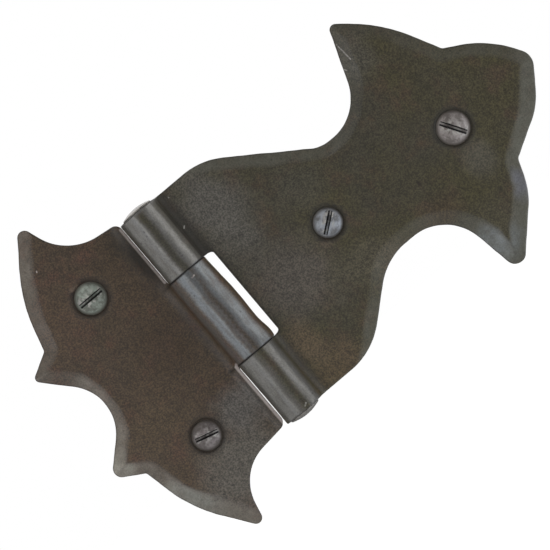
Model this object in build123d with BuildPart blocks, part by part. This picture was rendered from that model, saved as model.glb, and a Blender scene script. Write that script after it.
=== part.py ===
"""Decorative surface hinge, forged and waxed: a winged short leaf, a long waisted leaf with a
three-pointed tail, a riveted pin and four slotted wood screws.

Millimetres, +Z up. The hinge lies open and flat with its pin upright. The leaves' backs lie in
the plane y = 0 and their faces look towards -Y. The short leaf reaches towards -X and the long
leaf towards +X. The origin is midway between the short leaf's two screws, on its back.
"""

import os
from math import acos, atan2, cos, degrees, radians, sin, sqrt, tan

from build123d import *

# Sheet and barrel
SHEET_THICKNESS = 2.5
PIN_DIAMETER = 5.0
PIN_CLEARANCE = 0.07  # between the pin and the knuckles, on the radius
BARREL_LENGTH = 58.0
MIDDLE_KNUCKLE_LENGTH = 23.0
KNUCKLE_GAP = 0.4  # between one knuckle's end and the next
BARREL_RELIEF = 0.2  # the barrel stays this far in front of the mounting surface
ROOT_FILLET = 2.4  # inside radius where the face of a leaf rises into its knuckle
CURL_GAP = 0.35  # between the rolled end of a knuckle and the back of its own leaf

# Pin heads, hammered over the end knuckles
PIN_HEAD_DIAMETER = 7.8
PIN_HEAD_RIM = 0.35
PIN_HEAD_HEIGHT = 1.1

# Notches that leave room for the other leaf's knuckles, measured from the pin's axis
SHORT_NOTCH_EDGE = 5.9
LONG_WINDOW_EDGE = 7.5
NOTCH_CORNER = 0.8

# The short leaf's corners beside the barrel stand a little past the barrel's ends
SHORT_UPPER_OVERHANG = 1.1
SHORT_LOWER_OVERHANG = -0.4
SHORT_END_CORNER = 1.9

# Hand-cut bevel along the ornamental edges
BEVEL_WIDTH = 3.2
BEVEL_DEPTH = 0.9

# Screws: slotted, with a raised countersunk head
SCREW_LENGTH = 19.0  # from the head's rim to the point
SCREW_POINT = 4.5
SHANK_DIAMETER = 4.2
HEAD_DIAMETER = 8.0
HEAD_CROWN = 1.1
NECK_FILLET = 0.5  # under the head, so that the shank has its full round from the leaf's back on
SLOT_WIDTH = 0.9
SLOT_DEPTH = 0.75
SINK_DIAMETER = 8.8
SINK_ANGLE = 90.0
HOLE_DIAMETER = 4.6

# Where the screws stand, from the pin's axis and from the middle of the barrel
SHORT_SCREW_REACH = 20.5
SHORT_SCREW_SPACING = 40.4
SHORT_SCREWS_ABOVE_MIDDLE = 0.9
NECK_SCREW_REACH = 31.2
NECK_SCREW_ABOVE_MIDDLE = -0.3
TAIL_SCREW_REACH = 66.5
TAIL_SCREW_ABOVE_MIDDLE = -2.2

# How each slot was left when its screw was driven, in degrees from level, seen from the front
SHORT_SLOT_ANGLES = [0.0, -15.0]
LONG_SLOT_ANGLES = [38.0, -58.0]

# Corners of the leaves, anticlockwise as seen from the front: (right, up, radius). Up is from
# the middle of the barrel. Each edge is sawn along straight lines, blended by these radii.
# These are right of the pin's axis.
SHORT_UPPER_SHOULDER = (-18.2, 31.8, 12.6)
SHORT_LOWER_SHOULDER = (-20.2, -30.4, 11.0)
LONG_SHOULDER_REACH = (20.3, 18.6)  # lower and upper
LONG_SHOULDER_RADIUS = 17.0
NECK_LOWER_EDGE = (36.0, -15.1, 15.0)
NECK_UPPER_EDGE = (41.0, 13.6, 8.0)

# These are right of the short leaf's screws
WING_UPPER_TIP = (-2.1, 44.7, 1.7)
WING_OUTER_SIDE = [
    (-12.5, 30.6, 38.0),
    (-15.8, 18.8, 0.8),
    (-22.1, 15.2, 1.1),
    (-8.7, 0.5, 10.6),
    (-22.8, -13.0, 2.1),
    (-15.9, -17.0, 0.8),
    (-13.2, -29.6, 34.0),
]
WING_LOWER_TIP = (-2.8, -43.9, 1.4)

# These are right of the tail's screw
TAIL_SIDES = [
    (-13.1, -15.1, 11.5),
    (-9.1, -37.9, 2.4),
    (4.1, -24.0, 18.0),
    (6.8, -16.8, 1.5),
    (17.6, -10.7, 18.0),
    (24.5, -1.1, 3.9),
    (18.5, 8.4, 27.0),
    (9.6, 13.1, 1.5),
    (2.6, 26.9, 38.0),
    (-6.6, 33.9, 1.3),
    (-14.3, 13.6, 11.5),
]

# Sizes that follow
bore_radius = PIN_DIAMETER / 2 + PIN_CLEARANCE
barrel_radius = bore_radius + SHEET_THICKNESS
pin_depth = barrel_radius + BARREL_RELIEF  # from the leaves' backs to the pin's axis
half_barrel = BARREL_LENGTH / 2
half_middle = MIDDLE_KNUCKLE_LENGTH / 2
half_window = half_middle + KNUCKLE_GAP
past_barrel = 2 * barrel_radius  # how far the outlines run beyond the pin
past_leaf = 4 * BARREL_LENGTH  # further than any leaf reaches
head_radius = HEAD_DIAMETER / 2
shank_radius = SHANK_DIAMETER / 2
sink_slope = tan(radians(SINK_ANGLE / 2))
rim_height = SHEET_THICKNESS - (SINK_DIAMETER - HEAD_DIAMETER) / 2 / sink_slope

# Planes through the point behind the middle of the pin, on the leaves' backs. The outlines are
# drawn as seen from the front, and a section's x runs out along its leaf and its y runs back.
pin_foot = Vector(SHORT_SCREW_REACH, 0, -SHORT_SCREWS_ABOVE_MIDDLE)
back_plane = Plane(origin=pin_foot, x_dir=(1, 0, 0), z_dir=(0, -1, 0))
face_plane = back_plane.offset(SHEET_THICKNESS)
short_section_plane = Plane(origin=pin_foot, x_dir=(-1, 0, 0), z_dir=(0, 0, -1))
long_section_plane = Plane(origin=pin_foot, x_dir=(1, 0, 0), z_dir=(0, 0, 1))


def moved_right(corners, distance):
    """The corners moved right by distance."""
    return [(x + distance, y, radius) for x, y, radius in corners]


def sides_at(corners, i):
    """The sides of an outline that come to corner i and leave it, as vectors."""
    point = Vector(corners[i][0], corners[i][1])
    last = corners[i - 1]
    following = corners[(i + 1) % len(corners)]
    return point - Vector(last[0], last[1]), Vector(following[0], following[1]) - point


def turn_at(corners, i):
    """Degrees that an outline turns at corner i, above zero at an outer corner."""
    before, after = sides_at(corners, i)
    return degrees(atan2(before.cross(after).Z, before.dot(after)))


def fitted_radii(corners):
    """The corners' radii, shrunk where two blends would need more than the side they share."""
    count = len(corners)
    reaches = [corners[i][2] * tan(radians(abs(turn_at(corners, i)) / 2)) for i in range(count)]
    radii = []
    for i, (_, _, radius) in enumerate(corners):
        if radius > 0:
            before, after = sides_at(corners, i)
            room_before = before.length / (reaches[i] + reaches[i - 1])
            room_after = after.length / (reaches[i] + reaches[(i + 1) % count])
            radius *= min(1, 0.98 * room_before, 0.98 * room_after)
        radii.append(radius)
    return radii


def outline(plane, corners):
    """Sketch of a closed outline with its corners blended."""
    with BuildSketch(plane) as flat:
        with BuildLine():
            FilletPolyline(*[(x, y) for x, y, _ in corners], radius=fitted_radii(corners), close=True)
        make_face()
    return flat.sketch


def inset(corners, width):
    """The corners moved in by width: outer ones get tighter and inner ones rounder."""
    moved = []
    for i, (x, y, radius) in enumerate(corners):
        before, after = (side.normalized() for side in sides_at(corners, i))
        inward = (before + after).rotate(Axis.Z, 90) * (width / (1 + before.dot(after)))
        if radius > 0:
            radius = max(radius - width, width / 10) if turn_at(corners, i) > 0 else radius + width
        moved.append((x + inward.X, y + inward.Y, radius))
    return moved


def ridged(corners, width):
    """The corners with each tip sharp, where bevels of this width meet in a ridge."""
    return [
        (x, y, 0 if turn_at(corners, i) > 0 and radius < width else radius)
        for i, (x, y, radius) in enumerate(corners)
    ]


def beyond(start, corner, distance):
    """Sharp corner on the line from start to corner, past the corner by distance."""
    run = Vector(corner[0] - start[0], corner[1] - start[1]).normalized() * distance
    return (corner[0] + run.X, corner[1] + run.Y, 0)


def leaf_section(plane):
    """Sketch of a sheet that rises from flat and rolls over the pin, its end tucked in behind."""
    roll_radius = ROOT_FILLET + SHEET_THICKNESS  # of the rise, at the sheet's back
    centres = bore_radius + roll_radius  # from the pin's axis to the centre of the rise
    flat_start = sqrt(centres**2 - (pin_depth - roll_radius) ** 2)
    rise = Vector(flat_start, -roll_radius)
    pin = Vector(0, -pin_depth)
    to_rise = (rise - pin).normalized()

    def on_knuckle(radius, angle):
        return pin + to_rise.rotate(Axis.Z, angle) * radius

    def on_rise(radius):
        return rise + (Vector(0, 1) - to_rise).normalized() * radius

    def curl_end(radius):
        clear = roll_radius + CURL_GAP
        return degrees(acos((radius**2 + centres**2 - clear**2) / (2 * radius * centres)))

    middle_radius = (bore_radius + barrel_radius) / 2
    outer_end = curl_end(barrel_radius)
    inner_end = curl_end(bore_radius)
    face_start = Vector(flat_start, -SHEET_THICKNESS)
    back_start = Vector(flat_start, 0)
    outer_root = on_knuckle(barrel_radius, 0)
    inner_root = on_knuckle(bore_radius, 0)
    outer_tip = on_knuckle(barrel_radius, outer_end)
    inner_tip = on_knuckle(bore_radius, inner_end)
    with BuildSketch(plane) as section:
        with BuildLine():
            ThreePointArc(face_start, on_rise(ROOT_FILLET), outer_root)
            ThreePointArc(outer_root, on_knuckle(barrel_radius, outer_end / 2 - 180), outer_tip)
            ThreePointArc(outer_tip, on_knuckle(middle_radius, curl_end(middle_radius)), inner_tip)
            ThreePointArc(inner_tip, on_knuckle(bore_radius, inner_end / 2 - 180), inner_root)
            ThreePointArc(inner_root, on_rise(roll_radius), back_start)
            Polyline(back_start, (past_leaf, 0), (past_leaf, -SHEET_THICKNESS), face_start)
        make_face()
    return section.sketch


def bevel_waste(corners):
    """What the file takes off the face of a leaf along its outer side."""
    over = SHEET_THICKNESS / 10
    foot_plane = face_plane.offset(-BEVEL_DEPTH)
    bevel_corners = ridged(corners, BEVEL_WIDTH)
    with BuildPart() as waste:
        with BuildSketch(foot_plane):
            Rectangle(3 * past_leaf, 3 * past_leaf)
        extrude(amount=BEVEL_DEPTH + over)
        foot = outline(foot_plane, bevel_corners)
        top_corners = inset(bevel_corners, BEVEL_WIDTH * (BEVEL_DEPTH + over) / BEVEL_DEPTH)
        top = outline(face_plane.offset(over), top_corners)
        loft([foot, top], ruled=True, mode=Mode.SUBTRACT)
    return waste.part


def screw_seats(places, angles):
    """Where screws stand in the leaves' faces, each turned until its slot is at its angle."""
    seats = []
    for (right, up), angle in zip(places, angles):
        foot = pin_foot + Vector(right, -rim_height, up)
        level = (cos(radians(angle)), 0, sin(radians(angle)))
        seats.append(Plane(origin=foot, x_dir=level, z_dir=(0, -1, 0)))
    return seats


# Outlines and screw places
wing = moved_right([WING_UPPER_TIP, *WING_OUTER_SIDE, WING_LOWER_TIP], -SHORT_SCREW_REACH)
tail = moved_right(TAIL_SIDES, TAIL_SCREW_REACH)
short_corners = [
    (past_barrel, half_middle, 0),
    (-SHORT_NOTCH_EDGE, half_middle, NOTCH_CORNER),
    (-SHORT_NOTCH_EDGE, half_barrel + SHORT_UPPER_OVERHANG, SHORT_END_CORNER),
    SHORT_UPPER_SHOULDER,
    *wing,
    SHORT_LOWER_SHOULDER,
    (-SHORT_NOTCH_EDGE, -half_barrel - SHORT_LOWER_OVERHANG, SHORT_END_CORNER),
    (-SHORT_NOTCH_EDGE, -half_middle, NOTCH_CORNER),
    (past_barrel, -half_middle, 0),
]
short_bevel_corners = [
    (past_leaf, past_leaf, 0),
    beyond(wing[1], wing[0], past_barrel),
    *wing[1:-1],
    beyond(wing[-2], wing[-1], past_barrel),
    (past_leaf, -past_leaf, 0),
]
long_lower_shoulder = (LONG_SHOULDER_REACH[0], -half_barrel, LONG_SHOULDER_RADIUS)
long_upper_shoulder = (LONG_SHOULDER_REACH[1], half_barrel, LONG_SHOULDER_RADIUS)
long_corners = [
    (-past_barrel, -half_barrel, 0),
    long_lower_shoulder,
    NECK_LOWER_EDGE,
    *tail,
    NECK_UPPER_EDGE,
    long_upper_shoulder,
    (-past_barrel, half_barrel, 0),
    (-past_barrel, half_window, 0),
    (LONG_WINDOW_EDGE, half_window, NOTCH_CORNER),
    (LONG_WINDOW_EDGE, -half_window, NOTCH_CORNER),
    (-past_barrel, -half_window, 0),
]
long_bevel_corners = [
    (-past_leaf, -past_leaf, 0),
    beyond(NECK_LOWER_EDGE, long_lower_shoulder, half_barrel),
    NECK_LOWER_EDGE,
    *tail,
    NECK_UPPER_EDGE,
    beyond(NECK_UPPER_EDGE, long_upper_shoulder, half_barrel),
    (-past_leaf, past_leaf, 0),
]
short_screws = [
    (-SHORT_SCREW_REACH, SHORT_SCREWS_ABOVE_MIDDLE + SHORT_SCREW_SPACING / 2),
    (-SHORT_SCREW_REACH, SHORT_SCREWS_ABOVE_MIDDLE - SHORT_SCREW_SPACING / 2),
]
long_screws = [
    (NECK_SCREW_REACH, NECK_SCREW_ABOVE_MIDDLE),
    (TAIL_SCREW_REACH, TAIL_SCREW_ABOVE_MIDDLE),
]

# Short leaf: one sheet, rolled into the middle knuckle and sawn to its outline
with BuildPart() as short_leaf:
    extrude(leaf_section(short_section_plane), amount=past_leaf, both=True)
    extrude(outline(back_plane, short_corners), amount=past_leaf, both=True, mode=Mode.INTERSECT)
    add(bevel_waste(short_bevel_corners), mode=Mode.SUBTRACT)
    with Locations(*[face_plane.location * Location((x, y)) for x, y in short_screws]):
        CounterSinkHole(HOLE_DIAMETER / 2, SINK_DIAMETER / 2, counter_sink_angle=SINK_ANGLE)

# Long leaf: one sheet with the two end knuckles and a window between them
with BuildPart() as long_leaf:
    extrude(leaf_section(long_section_plane), amount=past_leaf, both=True)
    extrude(outline(back_plane, long_corners), amount=past_leaf, both=True, mode=Mode.INTERSECT)
    add(bevel_waste(long_bevel_corners), mode=Mode.SUBTRACT)
    with Locations(*[face_plane.location * Location((x, y)) for x, y in long_screws]):
        CounterSinkHole(HOLE_DIAMETER / 2, SINK_DIAMETER / 2, counter_sink_angle=SINK_ANGLE)

# Pin: a rod with both ends hammered over into low domes
head_edge = PIN_HEAD_DIAMETER / 2
rim_top = half_barrel + PIN_HEAD_RIM
dome_top = half_barrel + PIN_HEAD_HEIGHT
pin_plane = back_plane.offset(pin_depth)
with BuildPart() as hinge_pin:
    with BuildSketch(pin_plane):
        with BuildLine():
            for way in (1, -1):
                Polyline(
                    (PIN_DIAMETER / 2, 0),
                    (PIN_DIAMETER / 2, way * half_barrel),
                    (head_edge, way * half_barrel),
                    (head_edge, way * rim_top),
                )
                TangentArc((0, way * dome_top), (head_edge, way * rim_top), tangent=(1, 0))
                Line((0, 0), (0, way * dome_top))
        make_face()
    revolve(axis=Axis(pin_plane.origin, (0, 0, 1)))

# Wood screw, drawn about its own axis with its head's rim at height 0
with BuildPart() as wood_screw:
    with BuildSketch(Plane.XZ):
        with BuildLine():
            FilletPolyline(
                (0, -SCREW_LENGTH),
                (shank_radius, SCREW_POINT - SCREW_LENGTH),
                (shank_radius, -(head_radius - shank_radius) / sink_slope),
                (head_radius, 0),
                radius=[0, NECK_FILLET],
            )
            TangentArc((0, HEAD_CROWN), (head_radius, 0), tangent=(1, 0))
            Line((0, HEAD_CROWN), (0, -SCREW_LENGTH))
        make_face()
    revolve(axis=Axis.Z)
    with Locations((0, 0, HEAD_CROWN)):
        Box(
            HEAD_DIAMETER,
            SLOT_WIDTH,
            SLOT_DEPTH,
            align=(Align.CENTER, Align.CENTER, Align.MAX),
            mode=Mode.SUBTRACT,
        )

with BuildPart() as short_leaf_screws:
    with Locations(*screw_seats(short_screws, SHORT_SLOT_ANGLES)):
        add(wood_screw.part)

with BuildPart() as long_leaf_screws:
    with Locations(*screw_seats(long_screws, LONG_SLOT_ANGLES)):
        add(wood_screw.part)

os.makedirs("parts", exist_ok=True)
short_leaf.part.label = "short_leaf"
export_step(short_leaf.part, "parts/short_leaf.step")
long_leaf.part.label = "long_leaf"
export_step(long_leaf.part, "parts/long_leaf.step")
hinge_pin.part.label = "hinge_pin"
export_step(hinge_pin.part, "parts/hinge_pin.step")
short_leaf_screws.part.label = "short_leaf_screws"
export_step(short_leaf_screws.part, "parts/short_leaf_screws.step")
long_leaf_screws.part.label = "long_leaf_screws"
export_step(long_leaf_screws.part, "parts/long_leaf_screws.step")
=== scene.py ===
"""Decorative surface hinge of beeswaxed forged steel: its looks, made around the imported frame.

Each sub-assembly is a class: the two leaves, the riveted pin, the wood screws and the studio.
Their meshes are worked out in millimetres, measured from the pin's axis, from the leaves' backs
and from the middle of the barrel, and are moved into the frame, in metres, when they are made.
"""

import logging
import math
from dataclasses import dataclass
from enum import Enum
from functools import partial
from typing import Any, Callable, Iterable, Sequence, TypeVar

import bmesh
import bpy
import numpy as np
from mathutils import Matrix, Vector, noise
from mathutils.geometry import delaunay_2d_cdt


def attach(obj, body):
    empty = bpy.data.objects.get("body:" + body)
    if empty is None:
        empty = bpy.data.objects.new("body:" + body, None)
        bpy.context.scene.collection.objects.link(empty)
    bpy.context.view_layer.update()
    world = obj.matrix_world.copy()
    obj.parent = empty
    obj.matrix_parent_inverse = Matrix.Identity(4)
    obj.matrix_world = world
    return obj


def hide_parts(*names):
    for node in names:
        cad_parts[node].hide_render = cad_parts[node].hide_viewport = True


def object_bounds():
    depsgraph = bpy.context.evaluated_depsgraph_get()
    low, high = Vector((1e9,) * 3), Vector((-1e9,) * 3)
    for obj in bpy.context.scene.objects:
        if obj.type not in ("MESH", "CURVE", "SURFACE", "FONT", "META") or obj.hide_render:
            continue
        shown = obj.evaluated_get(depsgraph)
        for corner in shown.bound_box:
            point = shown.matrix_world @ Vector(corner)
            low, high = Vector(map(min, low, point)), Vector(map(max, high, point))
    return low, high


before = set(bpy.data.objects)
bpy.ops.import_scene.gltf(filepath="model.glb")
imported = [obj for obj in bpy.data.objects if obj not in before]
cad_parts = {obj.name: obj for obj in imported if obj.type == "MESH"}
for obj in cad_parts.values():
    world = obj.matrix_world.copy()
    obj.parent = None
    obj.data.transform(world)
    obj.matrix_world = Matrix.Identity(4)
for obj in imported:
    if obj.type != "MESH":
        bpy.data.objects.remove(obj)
CAD_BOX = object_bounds()
LOG = logging.getLogger("hinge")

MM = 0.001

# The pin's axis and the middle of the barrel in the frame, in millimetres
PIN_X = 20.5
MIDDLE_Z = -0.9

# Half the length of the barrel, of its middle knuckle and of the window for that knuckle
HALF_BARREL = 29.0
HALF_MIDDLE = 11.85
HALF_WINDOW = 11.9

# The screws' heads, in millimetres
HEAD_RADIUS = 4.0
HEAD_CROWN = 1.1
SLOT_WIDTH = 1.15

# The photograph's frame
IMAGE_SIDE_PX = 550
PX_PER_MM = 4.45
IMAGE_CENTRE = Vector((35.02, -2.5, -2.5))  # what the middle of the photograph shows, in mm
PHOTO_TURN = math.radians(40.2)  # anticlockwise, from the hinge standing upright
PHOTO_RIGHT = Vector((math.cos(PHOTO_TURN), 0.0, -math.sin(PHOTO_TURN)))
PHOTO_UP = Vector((math.sin(PHOTO_TURN), 0.0, math.cos(PHOTO_TURN)))
TO_VIEWER = Vector((0.0, -1.0, 0.0))

Socket = bpy.types.NodeSocket
Source = bpy.types.NodeSocket | bpy.types.Node
Points = np.ndarray
Adder = Callable[..., bpy.types.Node]
Kind = TypeVar("Kind")


def rows(kind: Callable[..., Kind], *values: tuple) -> list[Kind]:
    """One thing of a kind from each row of values."""
    return [kind(*row) for row in values]


class Side(Enum):
    """Which way a leaf reaches from the pin."""

    LEFT = -1
    RIGHT = 1


@dataclass(frozen=True)
class Corner:
    """A corner of a sawn outline, in millimetres.

    right is from the outline's datum, up from the middle of the barrel. radius blends the two
    straight cuts that meet there.
    """

    right: float
    up: float
    radius: float = 0.0

    def moved(self, right: float) -> "Corner":
        """The same corner moved right."""
        return Corner(self.right + right, self.up, self.radius)


@dataclass(frozen=True)
class Flaw:
    """A place where handwork left more or less than the drawing: a soft bump of a given size.

    right and up are its middle, reach_right and reach_up how far it fades, amount its height.
    """

    right: float
    up: float
    reach_right: float
    reach_up: float
    amount: float

    def at(self, right: Points, up: Points, crisp: tuple[int, int] = (2, 2)) -> Points:
        """The flaw's height at some points. Above 2, crisp gives it crisper sides and ends.

        Args:
            right: where the points are.
            up: the same, upwards.
            crisp: the powers with which it fades to its sides and ends.

        Returns:
            The height at each point.
        """
        across = ((right - self.right) / self.reach_right) ** crisp[0]
        along = ((up - self.up) / self.reach_up) ** crisp[1]
        return self.amount * np.exp(-across - along)


def ripple(right: Points, up: Points, size: float, seed: float, octaves: int = 2) -> Points:
    """Smooth noise over a surface.

    Args:
        right: where the points are, in millimetres.
        up: the same, upwards.
        size: distance over which the noise changes, in millimetres.
        seed: which slice of the noise is taken.
        octaves: how many finer layers lie on it.

    Returns:
        The noise at each point, about -1 to 1.
    """
    return np.array(
        [noise.fractal((x / size, y / size, seed), 1.0, 2.0, octaves) for x, y in zip(right, up)]
    )


# Outlines

MOST_OF_SIDE = 0.98  # how much of a side the blends at its two ends may use up
FINEST_TURN = 0.3  # the most that a blend turns between two points, in radians


def sides_at(corners: Sequence[Corner], i: int) -> tuple[Vector, Vector]:
    """The sides of an outline that come to corner i and leave it.

    Args:
        corners: the outline's corners, anticlockwise.
        i: the corner's number.

    Returns:
        The side before the corner and the side after it.
    """
    last, here, following = corners[i - 1], corners[i], corners[(i + 1) % len(corners)]
    before = Vector((here.right - last.right, here.up - last.up))
    return before, Vector((following.right - here.right, following.up - here.up))


def turn_at(corners: Sequence[Corner], i: int) -> float:
    """How far an outline turns at corner i, in radians, above zero anticlockwise."""
    before, after = sides_at(corners, i)
    return math.atan2(before.x * after.y - before.y * after.x, before.dot(after))


def fitted_radii(corners: Sequence[Corner]) -> list[float]:
    """The corners' radii, shrunk where two blends would need more than the side they share.

    Args:
        corners: the outline's corners, anticlockwise.

    Returns:
        One radius for each corner.
    """
    count = len(corners)
    reaches = [corners[i].radius * math.tan(abs(turn_at(corners, i)) / 2) for i in range(count)]
    radii = []
    for i, corner in enumerate(corners):
        radius = corner.radius
        if radius > 0:
            before, after = sides_at(corners, i)
            room_before = before.length / (reaches[i] + reaches[i - 1])
            room_after = after.length / (reaches[i] + reaches[(i + 1) % count])
            radius *= min(1.0, MOST_OF_SIDE * room_before, MOST_OF_SIDE * room_after)
        radii.append(radius)
    return radii


def blended(corners: Sequence[Corner], step: float) -> Points:
    """Points round a closed outline, anticlockwise, with its corners blended.

    Args:
        corners: the outline's corners, anticlockwise.
        step: the longest distance between two points.

    Returns:
        An array of points, right and up.
    """
    bends = []
    for i, (corner, radius) in enumerate(zip(corners, fitted_radii(corners))):
        here = Vector((corner.right, corner.up))
        if radius == 0:
            bends.append(here)
            continue
        before = sides_at(corners, i)[0].normalized()
        turn = turn_at(corners, i)
        start = here - before * radius * math.tan(abs(turn) / 2)
        inward = Vector((-before.y, before.x)) * math.copysign(radius, turn)
        centre = start + inward
        along, round_bend = abs(turn) * radius / step, abs(turn) / FINEST_TURN
        count = max(2, math.ceil(along), math.ceil(round_bend))
        for k in range(count + 1):
            angle = turn * k / count
            cosine, sine = math.cos(angle), math.sin(angle)
            arm = -inward
            turned = (arm.x * cosine - arm.y * sine, arm.x * sine + arm.y * cosine)
            bends.append(centre + Vector(turned))
    points = []
    for i, here in enumerate(bends):
        following = bends[(i + 1) % len(bends)]
        count = max(1, math.ceil((following - here).length / step))
        points += [here.lerp(following, k / count) for k in range(count)]
    return np.array(points)


def inward_normals(points: Points) -> Points:
    """For each point of a closed anticlockwise loop, how it moves when the loop shrinks by 1.

    Args:
        points: the loop's points, right and up.

    Returns:
        One arrow for each point, longer where the loop turns sharply.
    """
    before = points - np.roll(points, 1, axis=0)
    after = np.roll(points, -1, axis=0) - points
    before /= np.linalg.norm(before, axis=1)[:, None]
    after /= np.linalg.norm(after, axis=1)[:, None]
    left = np.stack([-(before + after)[:, 1], (before + after)[:, 0]], axis=1)
    return left / (1 + np.sum(before * after, axis=1))[:, None]


def distance_to(line: Points, points: Points) -> Points:
    """The distance from each point to an open line of many short pieces.

    Args:
        line: the line's points in order.
        points: where it is measured from.

    Returns:
        One distance for each point.
    """
    start, run = line[:-1], np.diff(line, axis=0)
    squared = np.sum(run**2, axis=1)
    nearest = np.full(len(points), np.inf)
    for a, r, s in zip(start, run, squared):
        share = np.clip(((points - a) @ r) / s, 0, 1)
        gap = np.hypot(*(points - a - share[:, None] * r).T)
        nearest = np.minimum(nearest, gap)
    return nearest


def inside(loop: Points, points: Points) -> Points:
    """Whether each point is inside a closed loop.

    Args:
        loop: the loop's points in order.
        points: the points in question.

    Returns:
        True or False for each point.
    """
    hit = np.zeros(len(points), bool)
    for a, b in zip(loop, np.roll(loop, -1, axis=0)):
        if a[1] == b[1]:
            continue
        spans = (points[:, 1] >= min(a[1], b[1])) & (points[:, 1] < max(a[1], b[1]))
        cut = a[0] + (points[:, 1] - a[1]) * (b[0] - a[0]) / (b[1] - a[1])
        hit ^= spans & (points[:, 0] < cut)
    return hit


def ring_at(centre: Sequence[float], radius: float, count: int) -> Points:
    """Points round a circle, anticlockwise."""
    angles = np.arange(count) * math.tau / count
    return np.array(centre) + radius * np.stack([np.cos(angles), np.sin(angles)], axis=1)


def honeycomb(low: Points, high: Points, spacing: float) -> Points:
    """Points in staggered rows that fill a rectangle.

    Args:
        low: the rectangle's lower left corner.
        high: its upper right corner.
        spacing: the distance between neighbours.

    Returns:
        The points, right and up.
    """
    rows = np.arange(low[1], high[1], spacing * math.sqrt(3) / 2)
    columns = np.arange(low[0], high[0], spacing)
    right, up = np.meshgrid(columns, rows)
    right[1::2] += spacing / 2
    return np.stack([right.ravel(), up.ravel()], axis=1)


# Materials

NOISE = "ShaderNodeTexNoise"
RANGE = "ShaderNodeMapRange"
MATH = "ShaderNodeMath"
VECTOR = "ShaderNodeVectorMath"
MIX = "ShaderNodeMix"
SMOOTH = {"interpolation_type": "SMOOTHSTEP"}
COLOURS = {"data_type": "RGBA"}
VECTORS = {"data_type": "FLOAT_VECTOR"}
TIMES = {"operation": "MULTIPLY"}
TIMES_PLUS = {"operation": "MULTIPLY_ADD"}
LARGER = {"operation": "MAXIMUM"}
LESS = {"operation": "SUBTRACT"}
FIRST, SECOND = 6, 7  # the Mix node's inputs for colours


def linear(code: str) -> tuple[float, float, float, float]:
    """An sRGB hex colour as linear red, green, blue and alpha.

    Args:
        code: a hash and six hex digits.

    Returns:
        The four shares, from 0 to 1.
    """
    shares = [int(code[i : i + 2], 16) / 255 for i in (1, 3, 5)]
    red, green, blue = (s / 12.92 if s <= 0.04045 else ((s + 0.055) / 1.055) ** 2.4 for s in shares)
    return red, green, blue, 1.0


def per_metre(size_mm: float) -> float:
    """The scale of a texture whose features are this many millimetres across."""
    return 1000.0 / size_mm


def add_node(
    tree: bpy.types.NodeTree, kind: str, given: dict[str | int, Any] | None = None
) -> bpy.types.Node:
    """Adds a node to a tree.

    Args:
        tree: the material, world or geometry tree.
        kind: Blender's name for the node's type.
        given: values for the node's properties, and for its inputs by name or number. A socket
            is linked to the input, and a node stands for its first output in use.

    Returns:
        The new node.
    """
    node = tree.nodes.new(kind)
    for key, value in (given or {}).items():
        if isinstance(key, str) and key in node.bl_rna.properties:
            setattr(node, key, value)
        elif not isinstance(value, Source):
            node.inputs[key].default_value = value
    for key, value in (given or {}).items():
        if isinstance(value, bpy.types.Node):
            value = next(out for out in value.outputs if out.enabled)
        if isinstance(value, Socket):
            tree.links.new(value, node.inputs[key])
    return node


def new_material(name: str) -> tuple[bpy.types.Material, Adder]:
    """An empty material, and what adds a node to it.

    Args:
        name: what the material is called.

    Returns:
        The material, and the function that adds a node to it.
    """
    material = bpy.data.materials.new(name)
    material.use_nodes = True
    material.node_tree.nodes.clear()
    return material, partial(add_node, material.node_tree)


@dataclass(frozen=True)
class Mark:
    """A bright scratch or nick through the wax, or a strip of painted light, from one end to the
    other, in frame millimetres.
    """

    start: tuple[float, float]
    end: tuple[float, float]
    width: float
    amount: float = 1.0
    whole: float = 0.0  # how much of it shows where it is broken


@dataclass(frozen=True)
class Patch:
    """A broad stain, a place rubbed thin, or painted light or shade on a bevel, fading all round,
    in frame millimetres.
    """

    right: float
    up: float
    reach_right: float
    reach_up: float
    colour: str
    amount: float = 1.0


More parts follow.
